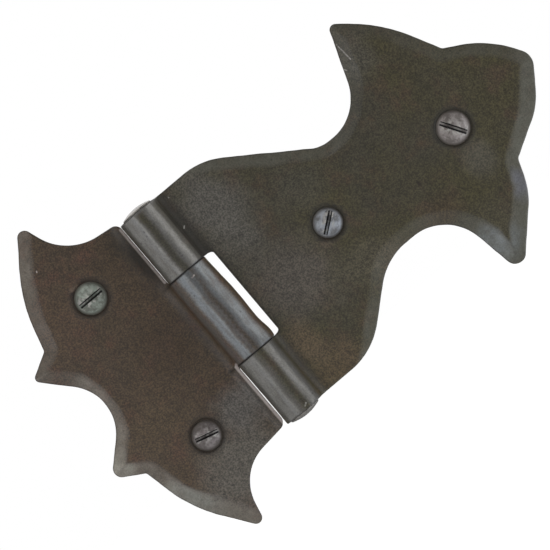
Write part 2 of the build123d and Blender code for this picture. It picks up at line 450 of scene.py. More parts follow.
@dataclass(frozen=True)
class WaxedSteel:
    """Hot-forged mild steel, scaled black and rubbed with beeswax.

    Forge scale gives a dark ground that isn't metallic and drifts between rust brown and olive.
    The wax gives a soft colourless sheen, and lies thick and dull in the hollows and pits, where
    it is laid darker still as painted shade. Filed edges are bare and smoother, so they mirror
    grey, with painted light and shade on parts of the bevels, and the knuckles are polished
    brighter in bands that are partly painted highlights, with painted shade between.
    """

    name: str
    ground: str  # most of the face
    drift: str  # broad patches
    stain: str  # small rusty or olive clouds
    filed: str = "#6f6b64"  # bevels and worn ridges
    bright: str = "#a09b93"
    # the thick wax's colour, also used for the painted shade in the hollows and creases
    thick_wax_and_shade: str = "#1c160f"
    pit: str = "#17130f"
    # the colour of the knuckles' polished bands, which are partly painted highlights
    polished: str = "#8a8682"
    metallic: float = 0.0
    roughness: float = 0.36
    marks: Sequence[Mark] = ()
    patches: Sequence[Patch] = ()
    bevel_light_and_shade: Sequence[Patch] = ()  # painted light and shade on the filed metal, lighter or browner than elsewhere

    def material(self) -> bpy.types.Material:
        """Makes the material.

        Returns:
            The material.
        """
        material, add = new_material(self.name)
        place = add("ShaderNodeTexCoord").outputs["Object"]
        filed, wax, polish = (
            add("ShaderNodeAttribute", {"attribute_name": name}).outputs["Fac"]
            for name in ("filed", "wax", "polish")
        )
        # Grit of the scale. Its real grain, about 0.1 mm, is too fine to show, so it is coarser.
        grain = add(NOISE, {"Scale": per_metre(0.34), "Detail": 1, "Vector": place})
        mottle = add(NOISE, {"Scale": per_metre(1.6), "Detail": 3, "Vector": place})
        cloud = {"Scale": per_metre(5), "Detail": 5, "Roughness": 0.65}
        clouds = add(NOISE, {**cloud, "Vector": place})
        clouds = add(RANGE, {**SMOOTH, "From Min": 0.48, "From Max": 0.72, "Value": clouds})
        # Wax left in the file's and the cloth's tracks breaks up the bare metal.
        track = {"Scale": per_metre(3.5), "Detail": 4, "Roughness": 0.65}
        tracks = add(NOISE, {**track, "Vector": place})
        spread = {"From Min": 0.32, "From Max": 0.6, "To Min": 0.45}
        tracks = add(RANGE, {**SMOOTH, **spread, "Value": tracks})
        filed = add(MATH, {**TIMES, 0: filed, 1: tracks})
        # The knuckles' polished bands, partly painted highlights, are broken into streaks.
        streaks = add(VECTOR, {**TIMES, 1: (1, 1, 0.22), 0: place})
        streak = {"Scale": per_metre(0.9), "Detail": 3, "Roughness": 0.6}
        streaks = add(NOISE, {**streak, "Vector": streaks})
        spread = {"From Min": 0.3, "From Max": 0.6, "To Min": 0.62}
        streaks = add(RANGE, {**SMOOTH, **spread, "Value": streaks})
        polish = add(MATH, {**TIMES, 0: polish, 1: streaks})
        pits = self.pits(add, place)
        colour = self.scaled(add, place, clouds)
        spread = {"From Min": 0.2, "From Max": 0.8, "To Min": 0.35, "To Max": 1.65}
        grit = add(RANGE, {**spread, "Value": grain})
        spread = {"From Min": 0.3, "From Max": 0.7, "To Min": -0.12, "To Max": 0.12}
        broad = add(RANGE, {**spread, "Value": mottle})
        grit = add(MATH, {"operation": "ADD", 0: grit, 1: broad})
        colour = add("ShaderNodeHueSaturation", {"Color": colour, "Value": grit})
        layers = [(self.filed, filed)]
        # Patches of painted light and shade on the filed bevels
        for patch in self.bevel_light_and_shade:
            share = self.share_of(add, place, patch)
            layers.append((patch.colour, add(MATH, {**TIMES, 0: share, 1: filed})))
        for code, share in (*layers, (self.polished, polish)):
            colour = add(MIX, {**COLOURS, SECOND: linear(code), 0: share, FIRST: colour})
        spread = {"From Min": 0.3, "From Max": 0.7, "To Min": 0.88, "To Max": 1.12}
        grit = add(RANGE, {**SMOOTH, **spread, "Value": grain})
        colour = add("ShaderNodeHueSaturation", {"Color": colour, "Value": grit})
        # Pits, then thick wax and the painted shade laid with it, darken the colour.
        for code, source, most in ((self.pit, pits, 0.35), (self.thick_wax_and_shade, wax, 0.72)):
            share = add(MATH, {**TIMES, 1: most, 0: source})
            colour = add(MIX, {**COLOURS, SECOND: linear(code), 0: share, FIRST: colour})
        colour = self.marked(add, place, colour)
        metal = add(MATH, {**TIMES_PLUS, 1: 0.72, 2: self.metallic, 0: filed})
        metal = add(MATH, {**TIMES_PLUS, 1: 0.85, "use_clamp": True, 0: polish, 2: metal})
        covered = add(MATH, {**TIMES_PLUS, 1: -0.9, 2: 1.0, 0: wax})
        metal = add(MATH, {**TIMES, 0: metal, 1: covered})
        # Where the wax share also lays painted shade, a dark share of metal takes the sheen away
        # too.
        metal = add(MATH, {**TIMES_PLUS, 1: 0.42, "use_clamp": True, 0: wax, 2: metal})
        sheen = add(MATH, {**TIMES_PLUS, 1: 0.12, 2: self.roughness - 0.06, 0: grain})
        for source, more in ((clouds, 0.08), (wax, 0.45), (filed, -0.04), (polish, -0.03)):
            sheen = add(MATH, {**TIMES_PLUS, 1: more, 0: source, 2: sheen})
        dents = add(NOISE, {"Scale": per_metre(2.6), "Detail": 3, "Vector": place})
        relief = add(MATH, {**TIMES, 1: 0.25, 0: grain})
        relief = add(MATH, {**TIMES_PLUS, 1: 0.6, 0: dents, 2: relief})
        relief = add(MATH, {**TIMES_PLUS, 1: -0.4, 0: pits, 2: relief})
        bump = add("ShaderNodeBump", {"Strength": 0.5, "Distance": 0.06 * MM, "Height": relief})
        steel = {"Base Color": colour, "Metallic": metal, "Roughness": sheen, "Normal": bump}
        coat = {"Coat Weight": 0.3, "Coat Roughness": 0.4, "Coat IOR": 1.44}  # beeswax
        surface = add("ShaderNodeBsdfPrincipled", {**steel, **coat, "Specular IOR Level": 0.75})
        add("ShaderNodeOutputMaterial", {"Surface": surface})
        return material

    def scaled(self, add: Adder, place: Socket, clouds: Source) -> bpy.types.Node:
        """The colour of the waxed scale.

        Args:
            add: adds a node to the material.
            place: the Object coordinates.
            clouds: the share of the stains.

        Returns:
            The node that gives the colour.
        """
        drift = add(NOISE, {"Scale": per_metre(22), "Detail": 3, "Vector": place})
        drift = add(RANGE, {**SMOOTH, "From Min": 0.35, "From Max": 0.65, "Value": drift})
        ends = {FIRST: linear(self.ground), SECOND: linear(self.drift)}
        colour = add(MIX, {**COLOURS, **ends, 0: drift})
        share = add(MATH, {**TIMES, 1: 0.85, 0: clouds})
        colour = add(MIX, {**COLOURS, SECOND: linear(self.stain), 0: share, FIRST: colour})
        for patch in self.patches:
            share = self.share_of(add, place, patch)
            colour = add(MIX, {**COLOURS, SECOND: linear(patch.colour), 0: share, FIRST: colour})
        return colour

    def share_of(self, add: Adder, place: Socket, patch: Patch) -> bpy.types.Node:
        """How much of its colour a patch gives, broken up by noise.

        Args:
            add: adds a node to the material.
            place: the Object coordinates.
            patch: the patch.

        Returns:
            The node that gives the share.
        """
        middle = (patch.right * MM, 0.0, patch.up * MM)
        arm = add(VECTOR, {**LESS, 1: middle, 0: place})
        shares = (1 / (patch.reach_right * MM), 0.0, 1 / (patch.reach_up * MM))
        arm = add(VECTOR, {**TIMES, 1: shares, 0: arm})
        gap = add(VECTOR, {"operation": "LENGTH", 0: arm})
        size = (patch.reach_right + patch.reach_up) / 4
        rag = {"Scale": per_metre(size), "Detail": 4, "Roughness": 0.6}
        ragged = add(NOISE, {**rag, "Vector": place})
        gap = add(MATH, {**TIMES_PLUS, 1: 0.7, 0: ragged, 2: gap})
        fade = {"From Min": 0.6, "From Max": 1.45, "To Min": patch.amount, "To Max": 0.0}
        return add(RANGE, {**SMOOTH, **fade, "Value": gap})

    def pits(self, add: Adder, place: Socket) -> bpy.types.Node:
        """Small pits that scale left, about 0.3 mm across, in loose groups.

        Args:
            add: adds a node to the material.
            place: the Object coordinates.

        Returns:
            The node that gives the share, 1 in a pit.
        """
        cells = add("ShaderNodeTexVoronoi", {"Scale": per_metre(1.5), "Vector": place})
        edge = {"From Min": 0.12, "From Max": 0.24, "To Min": 1.0, "To Max": 0.0}
        dots = add(RANGE, {**SMOOTH, **edge, "Value": cells})
        groups = add(NOISE, {"Scale": per_metre(6), "Vector": place})
        groups = add(RANGE, {**SMOOTH, "From Min": 0.5, "From Max": 0.62, "Value": groups})
        return add(MATH, {**TIMES, 0: dots, 1: groups})

    def marked(self, add: Adder, place: Socket, colour: bpy.types.Node) -> bpy.types.Node:
        """The colour with the scratches, nicks and strips of painted light on it, a little broken
        along their length.

        Args:
            add: adds a node to the material.
            place: the Object coordinates.
            colour: the colour under the marks.

        Returns:
            The node that gives the colour.
        """
        if not self.marks:
            return colour
        flat = add(VECTOR, {**TIMES, 1: (1, 0, 1), 0: place})
        broken = add(NOISE, {"Scale": per_metre(0.7), "Vector": place})
        broken = add(RANGE, {**SMOOTH, "From Min": 0.3, "From Max": 0.55, "Value": broken})
        for mark in self.marks:
            start = Vector((mark.start[0], 0, mark.start[1])) * MM
            run = Vector((mark.end[0], 0, mark.end[1])) * MM - start
            arm = add(VECTOR, {**LESS, 1: start, 0: flat})
            share = add(VECTOR, {"operation": "DOT_PRODUCT", 1: run, 0: arm})
            whole = {"operation": "DIVIDE", 1: run.length_squared, "use_clamp": True}
            share = add(MATH, {**whole, 0: share})
            along = add(VECTOR, {"operation": "SCALE", 0: run, "Scale": share})
            gap = add(VECTOR, {"operation": "DISTANCE", 0: arm, 1: along})
            half = mark.width * MM / 2
            edge = {"From Min": half * 0.4, "From Max": half, "To Min": mark.amount, "To Max": 0.0}
            inked = add(RANGE, {**SMOOTH, **edge, "Value": gap})
            shown = add(MATH, {**LARGER, 1: mark.whole, 0: broken})
            inked = add(MATH, {**TIMES, 0: inked, 1: shown})
            colour = add(MIX, {**COLOURS, SECOND: linear(self.bright), 0: inked, FIRST: colour})
        return colour


@dataclass(frozen=True)
class ScrewSteel:
    """Turned steel screw, blackened and waxed with the leaf, then rubbed grey by the driver.

    Its dome shows dull grey metal, browner towards the rim. The slot is black with painted shade,
    most in its corners, and the slot's lips are nicked bright. Lengths are in millimetres.
    """

    name: str
    metal: str
    dark: str = "#4b443b"
    # the painted shade in the slot
    black: str = "#100d0a"
    bright: str = "#c9c5be"

    def material(self) -> bpy.types.Material:
        """Makes the material.

        Returns:
            The material.
        """
        material, add = new_material(self.name)
        own = add("ShaderNodeAttribute", {"attribute_name": "own_place"}).outputs["Vector"]
        place = add("ShaderNodeTexCoord").outputs["Object"]
        flat = add(VECTOR, {**TIMES, 1: (1, 1, 0), 0: own})
        radius = add(VECTOR, {"operation": "LENGTH", 0: flat})
        across = add("ShaderNodeSeparateXYZ", {0: own}).outputs["Y"]
        across = add(MATH, {"operation": "ABSOLUTE", 0: across})
        slot = self.slot_shade(add, own, radius, across)
        smear = {"Scale": per_metre(2), "Detail": 5, "Roughness": 0.65}
        smudge = add(NOISE, {**smear, "Vector": place})
        spread = {"From Min": 0.66 * HEAD_RADIUS * MM, "From Max": HEAD_RADIUS * MM, "To Max": 0.9}
        rim = add(RANGE, {**SMOOTH, **spread, "Value": radius})
        spread = {"From Min": 0.38, "From Max": 0.62, "To Max": 0.65}
        browned = add(RANGE, {**SMOOTH, **spread, "Value": smudge})
        browned = add(MATH, {**LARGER, 0: rim, 1: browned})
        ends = {FIRST: linear(self.metal), SECOND: linear(self.dark)}
        colour = add(MIX, {**COLOURS, **ends, 0: browned})
        nicks = self.nicks(add, place, radius, across)
        for code, share in ((self.bright, nicks), (self.black, slot)):
            colour = add(MIX, {**COLOURS, SECOND: linear(code), 0: share, FIRST: colour})
        metal = add(MATH, {**TIMES_PLUS, 1: -0.6, 2: 0.6, 0: slot})
        sheen = add(MATH, {**TIMES_PLUS, 1: 0.3, 2: 0.28, 0: smudge})
        sheen = add(MATH, {**TIMES_PLUS, 1: 0.35, 0: slot, 2: sheen})
        grit = add(NOISE, {"Scale": per_metre(0.5), "Detail": 3, "Vector": place})
        relief = add(MATH, {**TIMES_PLUS, 1: 0.4, 0: grit, 2: smudge})
        bump = add("ShaderNodeBump", {"Strength": 1.0, "Distance": 0.25 * MM, "Height": relief})
        steel = {"Base Color": colour, "Metallic": metal, "Roughness": sheen}
        coat = {"Coat Weight": 0.1, "Coat Roughness": 0.35}  # a trace of beeswax
        surface = add("ShaderNodeBsdfPrincipled", {**steel, **coat, "Normal": bump})
        add("ShaderNodeOutputMaterial", {"Surface": surface})
        return material

    def slot_shade(self, add: Adder, own: Socket, radius: Source, across: Source) -> bpy.types.Node:
        """How much painted shade lies in the slot, in black.

        Args:
            add: adds a node to the material.
            own: the place on the screw, its axis along Z and its slot along X.
            radius: the distance from its axis.
            across: the distance from the middle of its slot.

        Returns:
            The node that gives the share, most in the slot's corners.
        """
        half = SLOT_WIDTH / 2 * MM
        parts = add("ShaderNodeSeparateXYZ", {0: own}).outputs
        fall = add(MATH, {**TIMES, 0: radius, 1: radius})
        bend = HEAD_CROWN / HEAD_RADIUS**2 / MM
        under = add(MATH, {**TIMES_PLUS, 1: -bend, 2: HEAD_CROWN * MM, 0: fall})
        under = add(MATH, {**LESS, 0: under, 1: parts["Z"]})
        deep = add(RANGE, {**SMOOTH, "From Min": 0.06 * MM, "From Max": 0.2 * MM, "Value": under})
        walls = {"From Min": half * 1.15, "From Max": half * 1.35, "To Min": 1.0, "To Max": 0.0}
        walls = add(RANGE, {**SMOOTH, **walls, "Value": across})
        # Painted shade lies heavier against one wall of the slot.
        thin = {"From Min": half * 0.4, "From Max": half * 0.6, "To Min": 0.3}
        thin = add(RANGE, {**SMOOTH, **thin, "Value": parts["Y"]})
        thick = {"From Min": half * -0.3, "From Max": 0.0, "To Min": 1.0, "To Max": 0.3}
        thick = add(RANGE, {**SMOOTH, **thick, "Value": parts["Y"]})
        corners = add(MATH, {**LARGER, 0: thin, 1: thick})
        share = add(MATH, {**TIMES, 0: deep, 1: walls})
        return add(MATH, {**TIMES, 0: share, 1: corners})

    def nicks(self, add: Adder, place: Socket, radius: Source, across: Source) -> bpy.types.Node:
        """Where the driver nicked the slot's lips bright.

        Args:
            add: adds a node to the material.
            place: the Object coordinates.
            radius: the distance from the screw's axis.
            across: the distance from the middle of its slot.

        Returns:
            The node that gives the share.
        """
        half = SLOT_WIDTH / 2 * MM
        lips = {"From Min": half * 1.1, "From Max": half * 4.0, "To Min": 1.0, "To Max": 0.0}
        lips = add(RANGE, {**SMOOTH, **lips, "Value": across})
        spots = add(NOISE, {"Scale": per_metre(1.1), "Vector": place})
        spots = add(RANGE, {**SMOOTH, "From Min": 0.48, "From Max": 0.62, "Value": spots})
        reach = {"From Min": 2.8 * MM, "From Max": 3.7 * MM, "To Min": 0.85, "To Max": 0.0}
        reach = add(RANGE, {**SMOOTH, **reach, "Value": radius})
        share = add(MATH, {**TIMES, 0: lips, 1: spots})
        return add(MATH, {**TIMES, 0: share, 1: reach})


def seen_share(add: Adder, mirrored: float | Source) -> bpy.types.Node:
    """How much a glow shows: wholly to the camera, by a share in mirroring metal, else not.

    Args:
        add: adds a node to the tree.
        mirrored: the share that mirroring metal shows.

    Returns:
        The node that gives the share.
    """
    rays = add("ShaderNodeLightPath").outputs
    seen = add(MATH, {**LARGER, 0: rays["Is Glossy Ray"], 1: rays["Is Transmission Ray"]})
    seen = add(MATH, {**TIMES, 0: seen, 1: mirrored})
    return add(MATH, {**LARGER, 0: rays["Is Camera Ray"], 1: seen})


@dataclass(frozen=True)
class StudioPaper:
    """Matt white photographic paper, which shows as plain white and keeps a soft shadow."""

    name: str = "white_studio_paper"
    paper: str = "#ececea"
    fibre: str = "#f2f2f0"
    lift: float = 0.98  # what it shows the camera without any light
    mirrored: float = 0.1  # the share of that in the metal, which the lamps light it for too

    def material(self) -> bpy.types.Material:
        """Makes the material.

        Returns:
            The material.
        """
        material, add = new_material(self.name)
        place = add("ShaderNodeTexCoord").outputs["Object"]
        fibre = add(NOISE, {"Scale": per_metre(3), "Detail": 3, "Vector": place})
        fibre = add(RANGE, {**SMOOTH, "From Min": 0.3, "From Max": 0.7, "Value": fibre})
        ends = {FIRST: linear(self.paper), SECOND: linear(self.fibre)}
        colour = add(MIX, {**COLOURS, **ends, 0: fibre})
        matt = add("ShaderNodeBsdfDiffuse", {"Color": colour})
        glow = add(MATH, {**TIMES, 1: self.lift, 0: seen_share(add, self.mirrored)})
        glow = add("ShaderNodeEmission", {"Strength": glow})
        both = add("ShaderNodeAddShader", {0: matt, 1: glow})
        add("ShaderNodeOutputMaterial", {"Surface": both})
        return material


# Meshes


def in_frame(points: Points, side: Side) -> Points:
    """Points given out from the pin, back from the leaves' backs and up, moved into the frame."""
    moved = points * np.array([side.value, 1, 1]) + np.array([PIN_X, 0, MIDDLE_Z])
    return moved * MM


def linked(name: str, data: bpy.types.ID) -> bpy.types.Object:
    """A new object in the scene.

    Args:
        name: what the object is called.
        data: its mesh, lamp or camera.

    Returns:
        The object.
    """
    made = bpy.data.objects.new(name, data)
    bpy.context.scene.collection.objects.link(made)
    return made


def store(
    mesh: bpy.types.Mesh, name: str, values: Sequence, kind: str = "FLOAT", key: str = "value"
) -> None:
    """Gives the vertices of a mesh a named value each, which its material or node tree reads."""
    attribute = mesh.attributes.new(name, kind, "POINT")
    attribute.data.foreach_set(key, np.asarray(values, np.float32).ravel())


def new_piece(name: str, points: Points, faces: Iterable[Sequence[int]]) -> bpy.types.Object:
    """A smooth closed piece at the origin, its faces turned outwards.

    Args:
        name: the piece's name.
        points: its vertices in the frame, in metres.
        faces: its faces, as vertex numbers.

    Returns:
        The new object.
    """
    mesh = bpy.data.meshes.new(name)
    mesh.from_pydata([tuple(p) for p in points], [], [tuple(int(i) for i in f) for f in faces])
    work = bmesh.new()
    work.from_mesh(mesh)
    bmesh.ops.recalc_face_normals(work, faces=work.faces)
    work.to_mesh(mesh)
    work.free()
    mesh.shade_smooth()
    return linked(name, mesh)


def bridge(first: Sequence[int], second: Sequence[int]) -> list[tuple[int, int, int, int]]:
    """Faces between two closed loops of as many vertices.

    Args:
        first: the vertex numbers of one loop.
        second: those of the other, in the same order.

    Returns:
        One face of four sides for each step round the loops.
    """
    count = len(first)
    return [
        (first[i], first[(i + 1) % count], second[(i + 1) % count], second[i]) for i in range(count)
    ]


def lathe(rings: Sequence[Points], poles: Sequence[Sequence[float]]) -> tuple[Points, list[tuple]]:
    """A closed turned body.

    Args:
        rings: loops of as many points each, one after another along the axis.
        poles: the point that closes the first ring, and the one that closes the last.

    Returns:
        The body's points and faces.
    """
    count, total = len(rings[0]), sum(map(len, rings))
    loops = [range(start, start + count) for start in range(0, total, count)]
    faces = [face for pair in zip(loops, loops[1:]) for face in bridge(*pair)]
    for loop, pole in ((loops[0], total), (loops[-1], total + 1)):
        faces += [(loop[i], loop[(i + 1) % count], pole) for i in range(count)]
    return np.concatenate([*rings, poles]), faces


def dress(piece: bpy.types.Object, material: bpy.types.Material) -> None:
    """Gives a piece its one material."""
    piece.data.materials.clear()
    piece.data.materials.append(material)


@dataclass(frozen=True)
class Roll:
    """The bent end of a leaf, seen along the pin, in millimetres.

    The sheet rises out of the flat and turns round the pin until it meets its own back. Places
    are given out from the pin and back from the leaf's back.
    """

    sheet: float = 2.5
    bore: float = 2.57
    root: float = 2.4
    relief: float = 0.2
    curl_gap: float = 0.35

    @property
    def outside(self) -> float:
        """Radius of the barrel."""
        return self.bore + self.sheet

    @property
    def pin_back(self) -> float:
        """How far back the pin's axis lies."""
        return -(self.outside + self.relief)

    @property
    def back_root(self) -> float:
        """Radius of the rise at the sheet's back."""
        return self.root + self.sheet

    @property
    def centres(self) -> float:
        """From the pin's axis to the centre of the rise."""
        return self.bore + self.back_root

    @property
    def rise_back(self) -> float:
        """How far back the centre of the rise is from the pin's axis."""
        return -self.back_root - self.pin_back

    @property
    def flat_start(self) -> float:
        """Where the flat of the leaf ends, out from the pin."""
        return math.sqrt(self.centres**2 - self.rise_back**2)

    @property
    def first_angle(self) -> float:
        """The angle round the pin at which the rise meets the knuckle."""
        return math.atan2(self.rise_back, self.flat_start)

    def end_angle(self, radius: float) -> float:
        """The angle at the pin between the centre of the rise and the rolled end."""
        clear = self.back_root + self.curl_gap
        return math.acos((radius**2 + self.centres**2 - clear**2) / (2 * radius * self.centres))

    def rise_angles(self, cut: float, radius: float) -> tuple[float, float]:
        """How far the rise has turned at a saw cut, and where it meets the knuckle."""
        turned = math.asin((self.flat_start - cut) / radius)
        return turned, math.atan2(self.flat_start, -self.rise_back)

    def strip_lengths(self, cut: float) -> tuple[float, float]:
        """Lengths of the face from the cut to the knuckle, and round the knuckle to its end."""
        start, end = self.rise_angles(cut, self.root)
        return (end - start) * self.root, (math.tau - self.end_angle(self.outside)) * self.outside

    def angle_at(self, at: Points, cut: float, radius: float) -> Points:
        """The angle round the pin of points on the knuckle, from how far along they are.

        Args:
            at: how far out each point is along the strip.
            cut: where the strip begins.
            radius: that of the knuckle's face or of its bore.

        Returns:
            The angles, in radians.
        """
        rise_length, turn_length = self.strip_lengths(cut)
        share = np.clip((cut - at - rise_length) / turn_length, 0, 1)
        return self.first_angle - share * (math.tau - self.end_angle(radius))

    def surface(
        self, at: Points, cut: float, bulge: Callable[[Points], Points], back: bool
    ) -> Points:
        """Where the face or the back of the sheet is.

        Args:
            at: for each point, how far out it is, or past the cut how far along the strip.
            cut: where the strip for the knuckle begins, out from the pin.
            bulge: what handwork adds to the barrel's radius, from the angle round the pin.
            back: True for the sheet's back, False for its face.

        Returns:
            Points, out from the pin and back from the leaf's back.
        """
        rise = self.back_root if back else self.root
        turn = self.bore if back else self.outside
        rise_length, _ = self.strip_lengths(cut)
        start, end = self.rise_angles(cut, rise)
        past = cut - at
        bent = np.clip(self.flat_start - at, 0, self.flat_start - cut)
        climbed = start + (end - start) * np.clip(past / rise_length, 0, 1)
        angle = np.where(past > 0, climbed, np.arcsin(bent / rise))
        out = np.where(at > self.flat_start, at, self.flat_start - rise * np.sin(angle))
        away = -self.back_root + rise * np.cos(angle)
        round_pin = self.angle_at(at, cut, turn)
        radius = turn + (0 if back else bulge(round_pin))
        on_knuckle = past > rise_length
        out = np.where(on_knuckle, radius * np.cos(round_pin), out)
        away = np.where(on_knuckle, self.pin_back + radius * np.sin(round_pin), away)
        return np.stack([out, away], axis=1)


@dataclass(frozen=True)
class Sink:
    """A countersunk screw hole, out from the pin and up from the middle, in millimetres."""

    out: float
    up: float
    radius: float = 4.4
    hole: float = 2.3
    arris: float = 0.12
    sides: int = 64

    def ring(self, radius: float) -> Points:
        """Points round the sink at a radius."""
        return ring_at((self.out, self.up), radius, self.sides)

    def wall(self, sheet: float) -> list[tuple[Points, float]]:
        """Its rings, each with its share of the sheet's depth, from the face to the back.

        Args:
            sheet: how thick the sheet is.

        Returns:
            Loops of points on the cut sheet, each with its depth, from 0 to 1.
        """
        cone = (self.radius - self.hole) / sheet
        profile = ((self.radius, 0.03), (self.hole, cone), (self.hole, 1.0))
        return [(self.ring(radius), depth) for radius, depth in profile]

    def clear_of(self, points: Points) -> Points:
        """How far outside its rim points lie."""
        return np.hypot(points[:, 0] - self.out, points[:, 1] - self.up) - self.radius


@dataclass(frozen=True)
class Flat:
    """A hammered flat along a knuckle: the angle that it faces, in degrees, and its depth."""

    angle: float
    depth: float
    soft: float = 0.06  # how round its two edges are
    reach: float = 1.2  # how far from its middle it can matter, in radians

    def at(self, angle: Points, radius: float) -> Points:
        """How much the flat adds to the radius, below zero on it.

        Args:
            angle: the points' angles round the pin, in radians.
            radius: the knuckle's radius.

        Returns:
            What to add to the radius at each point.
        """
        away = np.clip(np.abs(angle - math.radians(self.angle)), 0, self.reach)
        cut = (radius - self.depth) / np.cos(away) - radius
        lower = 0.5 * (cut - np.sqrt(cut**2 + self.soft**2))
        return lower + self.soft / 2 * (away < self.reach)


@dataclass
class Leaf:
    """A leaf of the hinge: sheet, sawn, bevelled and rolled.

    Sizes are in millimetres. The mesh is made flat, as the sheet is cut, with its strips for the
    knuckles, and each point is then put where rolling takes it.
    """

    name: str
    node: str
    body: str
    slot: str
    side: Side
    finish: WaxedSteel
    corners: list[Corner]  # anticlockwise as cut, out from the pin
    bevelled: list[Corner]  # the line that the bevel follows
    cut: float  # where the strips begin
    sinks: list[Sink]
    bevel_flaws: list[Flaw]  # parts of the bevel's width
    barrel_flaws: list[Flaw]  # angle round the pin in degrees, and height
    flats: list[Flat]
    hollow_turn: float  # the hollow's painted shade and wax end at this angle round the pin, in degrees
    polish: list[Flaw]  # polished bands, partly painted highlights: angle round the pin in degrees, and height
    knuckle_shade: list[Flaw]  # painted shade in bands on the knuckles' fronts, in the wax's colour, by angle round the pin and height
    wear: list[Flaw]
    bevel_shade: list[Flaw]  # parts of the bevel kept waxed and dark as painted shade
    # painted shade with dirt in the creases and along the notches' edges
    dirt_and_shade: list[Flaw]
    hollow_wax_and_shade: Flaw  # how dark the hollow beside the knuckles is made: painted shade with wax
    seed: float
    roll: Roll = Roll()
    bevel_width: float = 3.2
    bevel_depth: float = 0.9
    crease: float = 0.08  # the bevel's inner edge is this soft
    drift: float = 0.14  # how much the bevel's width changes over 8 mm, as a share of it
    rag: float = 0.05  # the same over 2.5 mm
    arris: float = 0.26
    back_arris: float = 0.15
    fine: float = 0.33  # the distance between points by the bevel
    coarse: float = 0.8
    fine_band: float = 1.35  # how many widths of the bevel have the closer points
    clear: float = 0.55  # no point lies closer to a loop than this share of fine
    hammer: float = 6.5  # how far apart the hammer's marks on the face lie
    calm: float = 4.0  # they fade out over this distance beside the knuckles
    dent: float = 0.035  # their depth
    barrel_dent: float = 0.05  # and that of the marks on the knuckles
    dressed: float = 0.13  # what the hammer and the file took off the knuckles all round
    wander: float = 0.07  # how far the file strays along the outline
    ornament: float = 16.0  # it strays only further out than this, fully so 6 mm on
    waver: float = 4.5  # how far the knuckles' flats stray round the pin, in degrees
    hold: float = 0.16  # a second loop of points lies this far inside each edge
    bare: float = 0.35  # the bevel is bare metal where it is deeper than this share of its depth
    joint_reach: float = 0.22  # how far the wax of a joint reaches onto the knuckles' ends
    rim_darkening: float = 0.85  # how dark the face is made round a screw
    rim_reach: float = 0.6  # and how far it reaches

    def line(self) -> Points:
        """The line that the bevel follows, as many short pieces.

        Returns:
            The line's points, on the cut sheet.
        """
        loop = blended(self.bevelled, self.fine)
        last = int(np.argmin(np.hypot(*(loop - [self.bevelled[-1].right, self.bevelled[-1].up]).T)))
        return loop[: last + 1]

    def bevel_at(self, points: Points, gap: Points) -> Points:
        """How far the bevel takes the face back at points that lie gap from its line.

        Args:
            points: places on the cut sheet.
            gap: each point's distance from the bevel's line.

        Returns:
            The bevel's depth at each point.
        """
        right, up = points.T
        share = 1 + self.drift * ripple(right, up, 8, self.seed)
        share = share + self.rag * ripple(right, up, 2.5, self.seed + 5)
        for flaw in self.bevel_flaws:
            share = share - flaw.at(right, up)
        left = self.bevel_width * np.clip(share, 0.3, 1.4) - gap
        soft = np.clip((left + self.crease) ** 2 / (4 * self.crease), 0, None)
        soft = np.where(left < -self.crease, 0, np.where(left > self.crease, left, soft))
        return soft * self.bevel_depth / self.bevel_width

    def bulge(self, up: Points) -> Callable[[Points], Points]:
        """What handwork adds to the barrel's radius at these heights, from the angle.

        Args:
            up: the points' heights.

        Returns:
            The function that gives it for the points' angles.
        """

        def added(angle: Points) -> Points:
            """What it is at these angles.

            Args:
                angle: the points' angles round the pin, in radians.

            Returns:
                What to add to the radius at each point.
            """
            angle = angle + np.radians(self.strayed(up))
            turned = np.degrees(angle)
            flaws = sum(flaw.at(turned, up) for flaw in self.barrel_flaws)
            flats = sum(flat.at(angle, self.roll.outside) for flat in self.flats)
            dents = self.barrel_dent * ripple(turned / 12, up, 4, self.seed + 2)
            return flaws + flats + dents - self.dressed

        return added

    def strayed(self, up: Points) -> Points:
        """How far the hammered flats stray round the pin at these heights, in degrees."""
        return self.waver * ripple(0 * up, up, 7, self.seed + 7)

    def place(self, points: Points, depth: Points | float, gap: Points) -> Points:
        """Puts points of the cut sheet where they end up.

        Args:
            points: on the cut sheet.
            depth: share of the sheet's thickness, 0 on the face and 1 on the back.
            gap: each point's distance from the bevel's line.

        Returns:
            Points out from the pin, back from the leaf's back, and up.
        """
        up = points[:, 1]
        bulge = self.bulge(up)
        face = self.roll.surface(points[:, 0], self.cut, bulge, back=False)
        back = self.roll.surface(points[:, 0], self.cut, bulge, back=True)
        flat = np.clip((points[:, 0] - self.roll.flat_start) / self.calm, 0, 1)
        hammered = ripple(points[:, 0], up, self.hammer, self.seed + 1) * flat
        face[:, 1] += self.bevel_at(points, gap) + self.dent * hammered
        share = np.broadcast_to(np.asarray(depth, float), up.shape)[:, None]
        spot = face * (1 - share) + back * share
        return np.stack([spot[:, 0], spot[:, 1], up], axis=1)

    def scatter(self, loops: list[Points], line: Points) -> Points:
        """Points inside the sheet, closer together by the bevel and along its inner edge.

        Args:
            loops: the outline, and the loops inside it.
            line: the line that the bevel follows.

        Returns:
            The points, on the cut sheet.
        """
        low, high = loops[0].min(axis=0), loops[0].max(axis=0)
        near = honeycomb(low, high, self.fine)
        far = honeycomb(low, high, self.coarse)
        band = self.bevel_width * self.fine_band
        near = near[distance_to(line, near) < band]
        far = far[distance_to(line, far) >= band]
        points = np.concatenate([near, far])
        points = points[inside(loops[0], points)]
        for loop in loops:
            closed = np.concatenate([loop, loop[:1]])
            points = points[distance_to(closed, points) > self.fine * self.clear]
        for sink in self.sinks:
            points = points[sink.clear_of(points) > 0]
        return points

    def outline(self) -> Points:
        """The sawn outline, with the wander of a hand-held file where it is ornamental.

        Returns:
            The outline's points, on the cut sheet.
        """
        loop = blended(self.corners, self.fine)
        ornamental = np.clip((loop[:, 0] - self.ornament) / 6, 0, 1)
        stray = self.wander * (0.5 + ripple(*loop.T, 3.5, self.seed + 3)) * ornamental
        return loop + inward_normals(loop) * stray[:, None]

